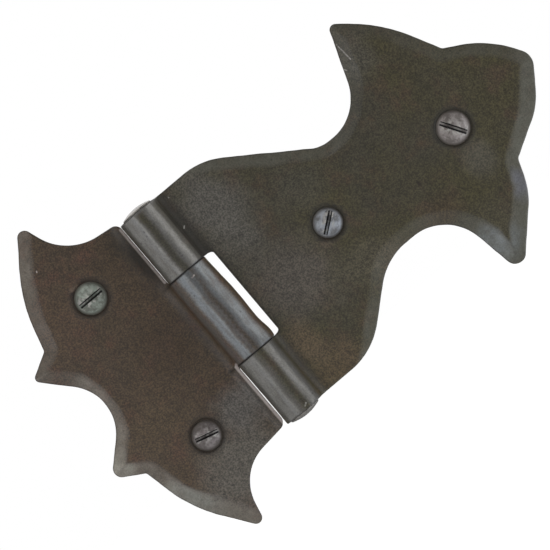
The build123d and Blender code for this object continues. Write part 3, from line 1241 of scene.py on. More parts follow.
    def edge(self) -> list[tuple[float, float]]:
        """The sawn edge with both arrises broken: inset and share of the depth, from the face.

        Returns:
            One pair for each loop of points round the edge.
        """
        sheet = self.roll.sheet
        steps = [
            (self.arris * (1 - math.sin(a)), self.arris * (1 - math.cos(a)) / sheet)
            for a in map(math.radians, (30, 60, 90))
        ]
        steps.append((0.0, 0.5))
        for a in (math.pi / 2, math.pi / 4):
            depth = 1 - self.back_arris * (1 - math.cos(a)) / sheet
            steps.append((self.back_arris * (1 - math.sin(a)), depth))
        return steps

    def flat_mesh(
        self, loops: list[Points], line: Points
    ) -> tuple[Points, Points, list[list[int]]]:
        """The sheet's face as it is cut.

        Args:
            loops: the outline, then the holes, then the loops that hold the points beside them.
            line: the line that the bevel follows.

        Returns:
            Its points, its triangles, and for each loop the numbers of its points.
        """
        points = np.concatenate([*loops, self.scatter(loops, line)])
        numbered, edges = [], []
        for loop in loops:
            first, count = len(edges), len(loop)
            numbered.append(range(first, first + count))
            edges += [(first + i, first + (i + 1) % count) for i in range(count)]
        found = delaunay_2d_cdt([Vector(p) for p in points], edges, [], 1, 1e-6)
        points = np.array([tuple(p) for p in found[0]])
        number = {old: new for new, olds in enumerate(found[3]) for old in olds}
        triangles = np.array(found[2])
        for sink in self.sinks:
            triangles = triangles[sink.clear_of(points[triangles].mean(axis=1)) > 0]
        return points, triangles, [[number[i] for i in loop] for loop in numbered]

    def build(self) -> bpy.types.Object:
        """Makes the leaf's mesh.

        Returns:
            The new object, with the shares that its material reads.
        """
        outline = self.outline()
        inward = inward_normals(outline)
        line = self.line()
        loops = [outline + inward * self.arris, *(s.ring(s.radius + s.arris) for s in self.sinks)]
        loops.append(outline + inward * (self.arris + self.hold))
        loops += [s.ring(s.radius + s.arris + self.hold) for s in self.sinks]
        sheet, triangles, numbered = self.flat_mesh(loops, line)
        gap, count = distance_to(line, sheet), len(sheet)
        parts = [self.place(sheet, depth, gap) for depth in (0.0, 1.0)]
        looks = {
            "filed": [self.filed_at(sheet, gap), np.zeros(count)],
            "wax": [self.wax_and_shade_at(sheet), np.full(count, 0.3)],
            "polish": [self.polish_and_highlight_at(sheet), np.zeros(count)],
        }
        faces = [tuple(t) for t in triangles] + [tuple(t[::-1] + count) for t in triangles]
        total = 2 * count
        walls = [[(outline + inward * inset, depth) for inset, depth in self.edge()]]
        walls += [sink.wall(self.roll.sheet) for sink in self.sinks]
        for front, wall in zip(numbered, walls):
            previous = front
            for ring, depth in wall:
                gap = distance_to(line, ring)
                parts.append(self.place(ring, depth, gap))
                looks["filed"].append(self.filed_at(ring, gap) * (1 - depth))
                looks["wax"].append(np.maximum(self.wax_and_shade_at(ring), 0.5))
                looks["polish"].append(self.polish_and_highlight_at(ring) * (1 - depth))
                numbers = list(range(total, total + len(ring)))
                faces += bridge(previous, numbers)
                previous = numbers
                total += len(ring)
            faces += bridge(previous, [i + count for i in front])
        piece = new_piece(self.name, in_frame(np.concatenate(parts), self.side), faces)
        for name, values in looks.items():
            store(piece.data, name, np.concatenate(values))
        return piece

    def on_knuckle(self, points: Points) -> tuple[Points, Points]:
        """Whether points of the cut sheet end up on a knuckle, and at which angle, in degrees.

        Args:
            points: places on the cut sheet.

        Returns:
            True or False for each point, and its angle.
        """
        rise, _ = self.roll.strip_lengths(self.cut)
        turned = np.degrees(self.roll.angle_at(points[:, 0], self.cut, self.roll.outside))
        return self.cut - points[:, 0] > rise, turned + self.strayed(points[:, 1])

    def polish_and_highlight_at(self, points: Points) -> Points:
        """How far handling and the closing of the hinge have polished the knuckles, in bands laid
        partly as painted highlights.

        Args:
            points: places on the cut sheet.

        Returns:
            The share at each point, from 0 to 1.
        """
        rolled, turned = self.on_knuckle(points)
        share = sum(flaw.at(turned, points[:, 1], crisp=(6, 4)) for flaw in self.polish)
        return np.clip(np.where(rolled, share, 0), 0, 1)

    def wax_and_shade_at(self, points: Points) -> Points:
        """How thick the wax lies, with painted shade laid as wax: 1 in the hollow where the leaf
        rises to the knuckles.

        Args:
            points: places on the cut sheet.

        Returns:
            The share at each point, from 0 to 1.
        """
        roll = self.roll
        out, up = points.T
        rise, _ = roll.strip_lengths(self.cut)
        low = self.cut - rise - (roll.first_angle - math.radians(self.hollow_turn)) * roll.outside
        onto = np.where(out < roll.flat_start, np.clip(out - low + 0.4, 0, 1), 1.0)
        off = np.clip(1 - (out - roll.flat_start + 1.0) / 2.4, 0, 1)
        share = self.hollow_wax_and_shade.at(out, up) * onto * off
        joint = np.clip(1.6 - np.abs(np.abs(up) - HALF_MIDDLE) / self.joint_reach, 0, 1)
        share = np.maximum(share, np.where(out < roll.flat_start - 0.5, joint, 0))
        for flaw in self.dirt_and_shade:
            share = np.maximum(share, flaw.at(out, up))
        rolled, turned = self.on_knuckle(points)
        for flaw in self.knuckle_shade:
            share = np.maximum(share, np.where(rolled, flaw.at(turned, up), 0))
        for sink in self.sinks:
            ring = np.exp(-((sink.clear_of(points) / self.rim_reach) ** 2))
            share = np.maximum(share, self.rim_darkening * ring)
        return np.clip(share, 0, 1)

    def filed_at(self, points: Points, gap: Points) -> Points:
        """How much of the wax the file and wear took: 1 on the bevel and on worn places. Parts of
        the bevel are held back from it as painted shade.

        Args:
            points: places on the cut sheet.
            gap: each point's distance from the bevel's line.

        Returns:
            The share at each point, from 0 to 1.
        """
        share = np.clip(self.bevel_at(points, gap) / self.bevel_depth / self.bare, 0, 1)
        for flaw in self.bevel_shade:
            share = share * (1 - flaw.at(*points.T))
        for flaw in self.wear:
            share = np.maximum(share, flaw.at(*points.T))
        return np.clip(share, 0, 1)

    def finished(self) -> bpy.types.Object:
        """Builds and dresses the leaf and ties it to its body.

        Returns:
            The finished piece.
        """
        piece = self.build()
        dress(piece, self.finish.material())
        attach(piece, self.body)
        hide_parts(self.node)
        return piece


@dataclass
class RivetedPin:
    """The rod in the knuckles, its two ends hammered over into low heads. Millimetres."""

    finish: WaxedSteel
    name: str = "riveted_pin"
    node: str = "hinge_pin"
    body: str = "swinging_leaf"
    slot: str = "pin_steel"
    rod: float = 2.5
    head: float = 3.9
    rim: float = 0.35
    dome: float = 1.1
    spread: float = 0.09  # how far the hammer spread the heads
    sunk: float = 0.07  # and how deep it struck them
    sides: int = 72

    def profile(self) -> list[tuple[float, float]]:
        """Radius and height of the upper half, from the middle to the top.

        Returns:
            The outline's points, in pairs.
        """
        crown = self.dome - self.rim
        ball = (self.head**2 + crown**2) / (2 * crown)
        points = [(self.rod, 0.0), (self.rod, HALF_BARREL), (self.head - 0.1, HALF_BARREL)]
        points += [(self.head, HALF_BARREL + 0.08), (self.head, HALF_BARREL + self.rim - 0.08)]
        for share in (0.97, 0.9, 0.75, 0.55, 0.35, 0.17, 0.06):
            radius = self.head * share
            drop = ball - math.sqrt(ball**2 - radius**2)
            points.append((radius, HALF_BARREL + self.dome - drop))
        return points

    def build(self) -> bpy.types.Object:
        """Makes the pin's mesh.

        Returns:
            The new object, with the share that its material reads.
        """
        upper, pin_back = self.profile(), Roll().pin_back
        angles = np.arange(self.sides) * math.tau / self.sides
        rings, worn = [], []
        for radius, height in [(r, -z) for r, z in reversed(upper[1:])] + upper:
            on_head = abs(height) > HALF_BARREL
            dents = np.zeros(self.sides)
            if on_head:
                around = [2.2 * turn(angles) * radius / self.head for turn in (np.cos, np.sin)]
                dents = ripple(*around, 1.0, height / 20 + 7)
            grown = radius + self.spread * dents
            lift = height - math.copysign(self.sunk, height) * np.abs(dents)
            places = [grown * np.cos(angles), pin_back + grown * np.sin(angles), lift]
            rings.append(np.stack(places, axis=1))
            worn += [float(on_head)] * self.sides
        top = HALF_BARREL + self.dome - 0.02
        points, faces = lathe(rings, [(0.0, pin_back, -top), (0.0, pin_back, top)])
        piece = new_piece(self.name, in_frame(points, Side.RIGHT), faces)
        store(piece.data, "filed", [*worn, 1.0, 1.0])
        return piece

    def finished(self) -> bpy.types.Object:
        """Builds and dresses the pin and ties it to its body.

        Returns:
            The finished piece.
        """
        piece = self.build()
        dress(piece, self.finish.material())
        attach(piece, self.body)
        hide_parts(self.node)
        return piece


@dataclass(frozen=True)
class Seat:
    """Where a screw stands: right of the pin, up from the middle, and how its slot was left.

    slot_angle is in degrees from level. girth is the screw's thickness as a share of the usual.
    """

    right: float
    up: float
    slot_angle: float
    girth: float = 1.0


@dataclass
class WoodScrews:
    """Slotted wood screws with raised countersunk heads, all of one leaf. Millimetres."""

    name: str
    node: str
    body: str
    seats: list[Seat]
    finishes: list[ScrewSteel]
    slot: str = "screw_steel"
    rim_back: float = -2.1  # the head's rim, back from the leaf's back
    length: float = 19.0
    point: float = 4.5
    plain: float = 6.3  # from the rim to the first turn of the thread
    shank: float = 2.1
    core: float = 1.5
    pitch: float = 1.7
    slot_depth: float = 0.85
    lip: float = 0.05  # how much of the slot's sharp lips the driver took
    tip: float = 0.4  # the thread ends this far above the point
    bedded: float = 0.94  # the thread's foot lies at this share of the core's radius
    sides: int = 72
    turn_steps: int = 26  # steps to one turn of the thread

    def profile(self) -> list[tuple[float, float]]:
        """Radius and height of the blank, from the point to the top, the rim at height 0.

        Returns:
            The outline's points, in pairs.
        """
        neck = HEAD_RADIUS - self.shank
        points = [(0.12, -self.length + 0.25), (self.core, -self.length + self.point)]
        points += [(self.core, -self.plain - 0.6), (self.shank, -self.plain)]
        points += [(self.shank, -neck - 0.2), (self.shank + 0.14, -neck + 0.14 - 0.28)]
        points += [(HEAD_RADIUS - 0.12, -0.12), (HEAD_RADIUS, -0.02), (HEAD_RADIUS - 0.05, 0.08)]
        ball = (HEAD_RADIUS**2 + HEAD_CROWN**2) / (2 * HEAD_CROWN)
        for share in (0.96, 0.9, 0.8, 0.68, 0.55, 0.42, 0.3, 0.18, 0.08):
            radius = HEAD_RADIUS * share
            points.append((radius, HEAD_CROWN - ball + math.sqrt(ball**2 - radius**2)))
        return points

    def blank(self) -> bpy.types.Object:
        """One screw without its thread, standing on the origin, its slot cut along X.

        Returns:
            The screw, as a plain mesh.
        """
        angles = np.arange(self.sides) * math.tau / self.sides
        rings = []
        for radius, height in self.profile():
            places = [radius * np.cos(angles), radius * np.sin(angles), np.full(self.sides, height)]
            rings.append(np.stack(places, axis=1))
        points, faces = lathe(rings, [(0.0, 0.0, -self.length), (0.0, 0.0, HEAD_CROWN)])
        screw = new_piece(f"{self.name}_blank", points * MM, faces)
        cutter = self.cutter()
        cut = screw.modifiers.new("slot", "BOOLEAN")
        cut.operation, cut.object, cut.solver = "DIFFERENCE", cutter, "EXACT"
        soften = screw.modifiers.new("soften", "BEVEL")
        soften.width, soften.segments, soften.limit_method = self.lip * MM, 1, "ANGLE"
        soften.angle_limit = math.radians(50)
        plain_mesh(screw, cutter)
        screw.data.set_sharp_from_angle(angle=math.radians(30))
        return screw

    def cutter(self) -> bpy.types.Object:
        """The saw that cuts the slot: a bar a little wider at the top.

        Returns:
            The new object, which is deleted when the slot is cut.
        """
        half, floor, top = SLOT_WIDTH / 2, HEAD_CROWN - self.slot_depth, HEAD_CROWN + 1
        points = []
        narrow, wide = half * 0.94, half * 1.08
        for x in (-1.2 * HEAD_RADIUS, 1.2 * HEAD_RADIUS):
            points += [(x, -narrow, floor), (x, narrow, floor), (x, wide, top), (x, -wide, top)]
        faces = [(0, 1, 2, 3), (4, 5, 6, 7), (0, 1, 5, 4), (1, 2, 6, 5), (2, 3, 7, 6), (3, 0, 4, 7)]
        return new_piece(f"{self.name}_saw", np.array(points) * MM, faces)

    def thread_sizes(self) -> dict[str, float]:
        """What the node tree's inputs are called, and their values in metres.

        Returns:
            The values by name.
        """
        return {
            "Pitch": self.pitch * MM,
            "Core": self.core * MM,
            "Crest": (self.shank - self.core) * MM,
            "Thread top": -self.plain * MM,
            "Point top": (self.point - self.length) * MM,
            "Tip": (self.tip - self.length) * MM,
        }

    def tree(
        self, blank: bpy.types.Object, materials: list[bpy.types.Material]
    ) -> bpy.types.NodeTree:
        """The node tree that threads the blank and stands one screw on each seat.

        Args:
            blank: the screw without its thread.
            materials: one for each seat.

        Returns:
            The geometry tree. Its inputs are the seats, the thread's pitch, core and crest, and
            the heights between which it runs.
        """
        tree = bpy.data.node_groups.new(f"{self.name}_tree", "GeometryNodeTree")
        tree.interface.new_socket("Geometry", in_out="INPUT", socket_type="NodeSocketGeometry")
        tree.interface.new_socket("Geometry", in_out="OUTPUT", socket_type="NodeSocketGeometry")
        for name in self.thread_sizes():
            tree.interface.new_socket(name, in_out="INPUT", socket_type="NodeSocketFloat")
        add = partial(add_node, tree)
        given = add("NodeGroupInput").outputs
        straight = self.thread(add, given, given["Point top"], given["Thread top"], tapered=False)
        tapering = self.thread(add, given, given["Tip"], given["Point top"], tapered=True)
        body = add("GeometryNodeObjectInfo", {"transform_space": "ORIGINAL", "Object": blank})
        join = add("GeometryNodeJoinGeometry")
        for source in (body.outputs["Geometry"], straight.outputs[0], tapering.outputs[0]):
            tree.links.new(source, join.inputs[0])
        own = add("GeometryNodeInputPosition").outputs[0]
        kept = {**VECTORS, "domain": "POINT", "Name": "own_place", "Geometry": join, "Value": own}
        stored = add("GeometryNodeStoreNamedAttribute", kept)
        done = add("GeometryNodeJoinGeometry")
        index = add("GeometryNodeInputIndex").outputs[0]
        turn, girth = (
            add("GeometryNodeInputNamedAttribute", {**VECTORS, "Name": name}).outputs["Attribute"]
            for name in ("turn", "girth")
        )
        for number, material in enumerate(materials):
            same = {"data_type": "INT", "operation": "EQUAL", 2: index, 3: number}
            here = add("FunctionNodeCompare", same)
            spots = add("GeometryNodeMeshToPoints", {"Mesh": given["Geometry"], "Selection": here})
            stand = {"Points": spots, "Instance": stored, "Rotation": turn, "Scale": girth}
            placed = add("GeometryNodeInstanceOnPoints", stand)
            real = add("GeometryNodeRealizeInstances", {0: placed})
            painted = add("GeometryNodeSetMaterial", {"Material": material, "Geometry": real})
            tree.links.new(painted.outputs[0], done.inputs[0])
        add("NodeGroupOutput", {0: done})
        return tree

    def thread(
        self, add: Adder, given: bpy.types.NodeOutputs, bottom: Socket, top: Socket, tapered: bool
    ) -> bpy.types.Node:
        """A thread between two heights: a thin triangle swept along a spiral.

        Args:
            add: adds a node to the geometry tree.
            given: the tree's inputs.
            bottom: where the thread starts.
            top: where it ends.
            tapered: whether it runs down to nothing at the bottom.

        Returns:
            The node that gives the thread.
        """
        run = add(MATH, {**LESS, 0: top, 1: bottom})
        turns = add(MATH, {"operation": "DIVIDE", 0: run, 1: given["Pitch"]})
        inside_core = add(MATH, {**TIMES, 1: self.bedded, 0: given["Core"]})
        foot = add(MATH, {**TIMES, 1: 0.03 if tapered else 1.0, 0: inside_core})
        links = {"Rotations": turns, "Start Radius": foot, "End Radius": inside_core, "Height": run}
        spiral = add("GeometryNodeCurveSpiral", {"Resolution": self.turn_steps, **links})
        ridge = add("GeometryNodeCurvePrimitiveCircle", {"Resolution": 3, "Radius": given["Crest"]})
        lifted = add("ShaderNodeCombineXYZ", {"Z": bottom})
        if tapered:
            share = add("GeometryNodeSplineParameter").outputs["Factor"]
            size = add(MATH, {**TIMES_PLUS, 1: 0.75, 2: 0.25, 0: share})
            spiral = add("GeometryNodeSetCurveRadius", {"Curve": spiral, "Radius": size})
        sweep = {"Fill Caps": True, "Curve": spiral, "Profile Curve": ridge}
        swept = add("GeometryNodeCurveToMesh", sweep)
        return add("GeometryNodeTransform", {"Geometry": swept, "Translation": lifted})

    def finished(self) -> bpy.types.Object:
        """Builds and dresses the screws and ties them to their body.

        Returns:
            The finished piece.
        """
        blank = self.blank()
        spots = [(PIN_X + s.right, self.rim_back, MIDDLE_Z + s.up) for s in self.seats]
        mesh = bpy.data.meshes.new(self.name)
        mesh.from_pydata([tuple(c * MM for c in spot) for spot in spots], [], [])
        turns = [(math.radians(90), -math.radians(s.slot_angle), 0.0) for s in self.seats]
        girths = [(s.girth, s.girth, 1.0) for s in self.seats]
        for name, values in (("turn", turns), ("girth", girths)):
            store(mesh, name, values, "FLOAT_VECTOR", "vector")
        piece = linked(self.name, mesh)
        modifier = piece.modifiers.new("screws", "NODES")
        modifier.node_group = self.tree(blank, [finish.material() for finish in self.finishes])
        sizes = self.thread_sizes()
        for item in modifier.node_group.interface.items_tree:
            if item.in_out == "INPUT" and item.name in sizes:
                modifier[item.identifier] = sizes[item.name]
        plain_mesh(piece, blank)
        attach(piece, self.body)
        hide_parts(self.node)
        return piece


def plain_mesh(piece: bpy.types.Object, tool: bpy.types.Object) -> None:
    """Makes what its modifiers give a piece's own mesh, and deletes the tool that they needed.

    Args:
        piece: the object, whose modifiers are then removed.
        tool: the object that they needed.
    """
    bpy.context.view_layer.update()
    graph = bpy.context.evaluated_depsgraph_get()
    shape = piece.evaluated_get(graph)
    mesh = bpy.data.meshes.new_from_object(shape, preserve_all_data_layers=True, depsgraph=graph)
    piece.modifiers.clear()
    piece.data = mesh
    mesh.name = piece.name
    bpy.data.objects.remove(tool)


@dataclass(frozen=True)
class Softbox:
    """A soft lamp aimed at the object.

    bearing is where it stands in the photograph, in degrees anticlockwise from the right, and
    tilt its angle from the line of sight. distance, breadth across the bearing and depth along
    it are in metres. glow is its brightness, where 1 shows as white.
    """

    name: str
    bearing: float
    tilt: float
    glow: float
    tint: str = "#ffffff"
    distance: float = 0.45
    breadth: float = 0.3
    depth: float = 0.22

    def light(self, target: Vector) -> None:
        """Makes the lamp, aimed at a point.

        Args:
            target: the point, in the frame.
        """
        data = bpy.data.lights.new(self.name, "AREA")
        data.shape, data.size, data.size_y = "RECTANGLE", self.breadth, self.depth
        data.energy = self.glow * math.pi * self.breadth * self.depth
        data.color = linear(self.tint)[:3]
        lamp = linked(self.name, data)
        bearing, tilt = math.radians(self.bearing), math.radians(self.tilt)
        outward = PHOTO_RIGHT * math.cos(bearing) + PHOTO_UP * math.sin(bearing)
        across = PHOTO_UP * math.cos(bearing) - PHOTO_RIGHT * math.sin(bearing)
        back = outward * math.sin(tilt) + TO_VIEWER * math.cos(tilt)
        turn = Matrix((across, back.cross(across), back)).transposed().to_4x4()
        lamp.matrix_world = Matrix.Translation(target + back * self.distance) @ turn
        lamp.visible_camera = False


@dataclass
class Studio:
    """Camera, lamps, surroundings and floor."""

    camera_distance: float = 0.9
    sensor: float = 36.0
    floor_radius: float = 0.7
    floor_gap: float = 0.0003  # how far under the object the floor lies
    room: float = 0.02  # how bright the room is beside and behind the camera
    lamps: tuple[Softbox, ...] = (
        Softbox("near_lower_left", 225, 30, 0.85),
        Softbox("near_below", 270, 30, 0.91),
        Softbox("near_above", 90, 30, 0.3),
        Softbox("near_right", 0, 30, 0.28),
        Softbox("upper_right", 45, 52, 0.39),
        Softbox("upper_left", 135, 52, 1.55),
        Softbox("left", 180, 52, 0.45),
        Softbox("near_left", 180, 30, 0.2),
        Softbox("lower_left", 225, 52, 0.78, "#eef4ff"),
        Softbox("below", 270, 52, 1.5, "#eaf2ff"),
        Softbox("edge_right", 0, 76, 5.2, "#eaf2ff"),
        Softbox("edge_upper_right", 45, 76, 1.3),
        Softbox("edge_lower_left", 225, 76, 0.87),
        Softbox("edge_lower_right", 315, 76, 1.7),
    )

    def camera(self) -> None:
        """Makes the camera, square on to the leaves and turned as the photograph is."""
        data = bpy.data.cameras.new("camera")
        data.sensor_width = self.sensor
        seen = IMAGE_SIDE_PX / PX_PER_MM * MM
        data.lens = self.sensor * self.camera_distance / seen
        camera = linked("camera", data)
        turn = Matrix((PHOTO_RIGHT, PHOTO_UP, TO_VIEWER)).transposed().to_4x4()
        spot = IMAGE_CENTRE * MM + TO_VIEWER * self.camera_distance
        camera.matrix_world = Matrix.Translation(spot) @ turn
        bpy.context.scene.camera = camera

    def surroundings(self) -> None:
        """A dim room, and behind the object a white sweep that its metal mirrors too.

        The camera sees white whichever way it looks.
        """
        world = bpy.data.worlds.new("studio")
        bpy.context.scene.world = world
        world.use_nodes = True
        world.node_tree.nodes.clear()
        add = partial(add_node, world.node_tree)
        way = add("ShaderNodeTexCoord").outputs["Generated"]
        away = add("ShaderNodeSeparateXYZ", {0: way}).outputs["Y"]
        sweep = add(RANGE, {**SMOOTH, "From Max": 0.6, "To Min": self.room, "Value": away})
        strength = add(MATH, {**LARGER, 1: self.room, 0: seen_share(add, sweep)})
        background = add("ShaderNodeBackground", {"Color": linear("#ffffff"), "Strength": strength})
        add("ShaderNodeOutputWorld", {"Surface": background})

    def floor(self, height: float) -> None:
        """A round white floor at a height. The lamps below it shine through it.

        Args:
            height: its place along the frame Z axis, in metres.
        """
        data = bpy.data.meshes.new("floor")
        work = bmesh.new()
        bmesh.ops.create_circle(work, cap_ends=True, segments=96, radius=self.floor_radius)
        bmesh.ops.translate(work, verts=work.verts, vec=(IMAGE_CENTRE.x * MM, 0, height))
        work.to_mesh(data)
        work.free()
        floor = linked("floor", data)
        dress(floor, StudioPaper().material())
        floor.visible_shadow = False
        floor.visible_diffuse = False

    def build(self) -> None:
        """Sets up everything that isn't part of the object."""
        self.camera()
        self.surroundings()
        self.floor(CAD_BOX[0].z - self.floor_gap)
        for lamp in self.lamps:
            lamp.light(IMAGE_CENTRE * MM)
        bpy.context.scene.view_settings.view_transform = "Standard"


# The hinge's own sizes, as they were sawn

SHORT_CUT = 5.1  # where the strips for the knuckles begin, out from the pin
LONG_CUT = 7.461
WINDOW_EDGE = 7.36
PAST_LEAF = 232.0  # a place far outside both leaves
RUN_OUT = 10.14  # how far the short leaf's bevel goes on past its shoulders

WING = rows(
    Corner,
    (2.1, 44.7, 1.7), (12.5, 30.6, 38.0), (15.8, 18.8, 0.8), (22.1, 15.2, 1.1), (8.7, 0.5, 10.6),
    (22.8, -13.0, 2.1), (15.9, -17.0, 0.8), (13.2, -29.6, 34.0), (2.8, -43.9, 1.4),
)
WING_DATUM = 20.5
TAIL = rows(
    Corner,
    (-13.1, -15.1, 11.5), (-9.1, -37.9, 2.4), (4.1, -24.0, 18.0), (6.8, -16.8, 1.5),
    (17.6, -10.7, 18.0), (24.5, -1.1, 3.9), (18.5, 8.4, 27.0), (9.6, 13.1, 1.5), (2.6, 26.9, 38.0),
    (-6.6, 33.9, 1.3), (-14.3, 13.6, 11.5),
)
TAIL_DATUM = 66.5
NECK_LOWER = Corner(36.0, -15.1, 15.0)
NECK_UPPER = Corner(41.0, 13.6, 8.0)
LOWER_SHOULDER = Corner(20.3, -HALF_BARREL, 17.0)
UPPER_SHOULDER = Corner(18.6, HALF_BARREL, 17.0)


def beyond(start: Corner, corner: Corner, distance: float) -> Corner:
    """A sharp corner on the line from start to corner, past the corner."""
    run = Vector((corner.right - start.right, corner.up - start.up)).normalized() * distance
    return Corner(corner.right + run.x, corner.up + run.y)


def short_leaf() -> Leaf:
    """The winged leaf with the middle knuckle. It is drawn out from the pin, so mirrored.

    Returns:
        The leaf, ready to build.
    """
    roll = Roll()
    end = SHORT_CUT - sum(roll.strip_lengths(SHORT_CUT))
    wing = [corner.moved(WING_DATUM) for corner in reversed(WING)]
    corners = [
        Corner(end, -HALF_MIDDLE),
        Corner(SHORT_CUT, -HALF_MIDDLE, 0.8),
        Corner(SHORT_CUT, -28.6, 1.9),
        Corner(20.2, -30.4, 11.0),
        *wing,
        Corner(18.2, 31.8, 12.6),
        Corner(SHORT_CUT, 30.1, 1.9),
        Corner(SHORT_CUT, HALF_MIDDLE, 0.8),
        Corner(end, HALF_MIDDLE),
    ]
    bevelled = [
        Corner(-PAST_LEAF, -PAST_LEAF),
        beyond(wing[1], wing[0], RUN_OUT),
        *wing[1:-1],
        beyond(wing[-2], wing[-1], RUN_OUT),
    ]
    return Leaf(
        name="short_leaf_forged",
        node="short_leaf",
        body="fixed_leaf",
        slot="short_leaf_steel",
        side=Side.LEFT,
        finish=WaxedSteel(
            "waxed_forged_steel_brown",
            ground="#4b3c2b",
            drift="#4e3e2b",
            stain="#563927",
            filed="#8b8479",
            bright="#c4b8b1",
            polished="#848788",
            patches=rows(
                Patch,
                (2, -31, 15, 12, "#605a50", 0.95), (10, -20, 8, 7, "#64605a", 0.85),
                (-7, -12, 10, 8, "#54442f", 0.7), (-10, 20, 8, 12, "#55422f", 0.6),
                (6, 1, 8, 9, "#43321f", 0.75), (13, 24, 4, 9, "#3b301f", 0.8),
                (-1.4, 24.3, 1.6, 0.6, "#8a7460", 0.8),
            ),
            # Painted light on the lit bevels, and browner painted shade on those turned away
            bevel_light_and_shade=rows(
                Patch,
                (-19, -13.5, 4, 4, "#aaa598", 0.9), (-11, -29, 7, 9, "#9a9990", 0.85),
                (-18, 10.5, 4, 3, "#6f6355", 0.9), (-13.5, 21, 3, 6, "#77695a", 0.7),
            ),
            marks=rows(
                Mark,
                ((20.5, 9.0), (21.2, 9.1), 0.5), ((-5.5, 32.5), (-5.4, 32.7), 0.4),
                # Along both notches' edges a pale strip of painted light, hooked at the lower one's
                # inner end, stands for the shaded floor seen through the gap beside the knuckles.
                ((15.05, 27.6), (15.05, 12.2), 0.95, 0.62, 0.8),
                ((15.05, -12.7), (15.15, -29.2), 1.15, 0.85, 0.9),
                ((15.0, -12.7), (15.4, -12.2), 0.8, 0.85, 0.9),
            ),
        ),
        corners=corners,
        bevelled=bevelled,
        cut=SHORT_CUT,
        sinks=[Sink(20.5, 21.1, 4.15), Sink(20.5, -19.3, 3.85)],
        bevel_flaws=rows(Flaw, (31, 1, 7, 6, 0.38), (28, -33, 9, 7, -0.3)),
        barrel_flaws=rows(Flaw, (-180, -10.5, 70, 3.2, 0.75), (-180, 0, 50, 10, 0.65)),
        flats=rows(Flat, (-63.6, 0.12), (-94.6, 0.13), (-130.6, 0.2)),
        hollow_turn=-49,
        # Polished bands on the knuckles, partly painted highlights
        polish=rows(
            Flaw,
            (-65, 0, 13, 40, 1.0), (-76, 0, 6, 40, 0.6), (-89, 0, 6, 40, 0.55),
            (-86, 11, 13, 5, 0.6), (-124, 0, 21, 40, 1.0), (-29, 0, 14, 40, 0.35),
        ),
        # Painted shade in a band down the knuckle's front
        knuckle_shade=[Flaw(-101, -2, 6, 14, 0.65)],
        wear=[],
        # Painted shade: bevels that face away from the lamps keep the wax's dark colour
        bevel_shade=rows(
            Flaw,
            (25, 40, 5, 6, 0.5), (31.5, 28, 5, 6, 0.7), (35, 20.5, 5, 6, 1.0),
            (38.5, 11, 6, 5, 1.0), (32, -2, 4, 5, 0.7), (35.5, -18.5, 3.5, 3, 0.5),
        ),
        # Painted shade with dirt along the notches' edges and in the hollow by the middle knuckle
        dirt_and_shade=rows(
            Flaw,
            (6.2, 19.3, 2.0, 7.6, 1.3), (6.3, -20, 0.5, 10, 0.75), (6.8, 0, 1.2, 12, 0.55),
        ),
        hollow_wax_and_shade=Flaw(6, 0, 60, 26, 0.0),
        seed=3.0,
        roll=roll,
    )


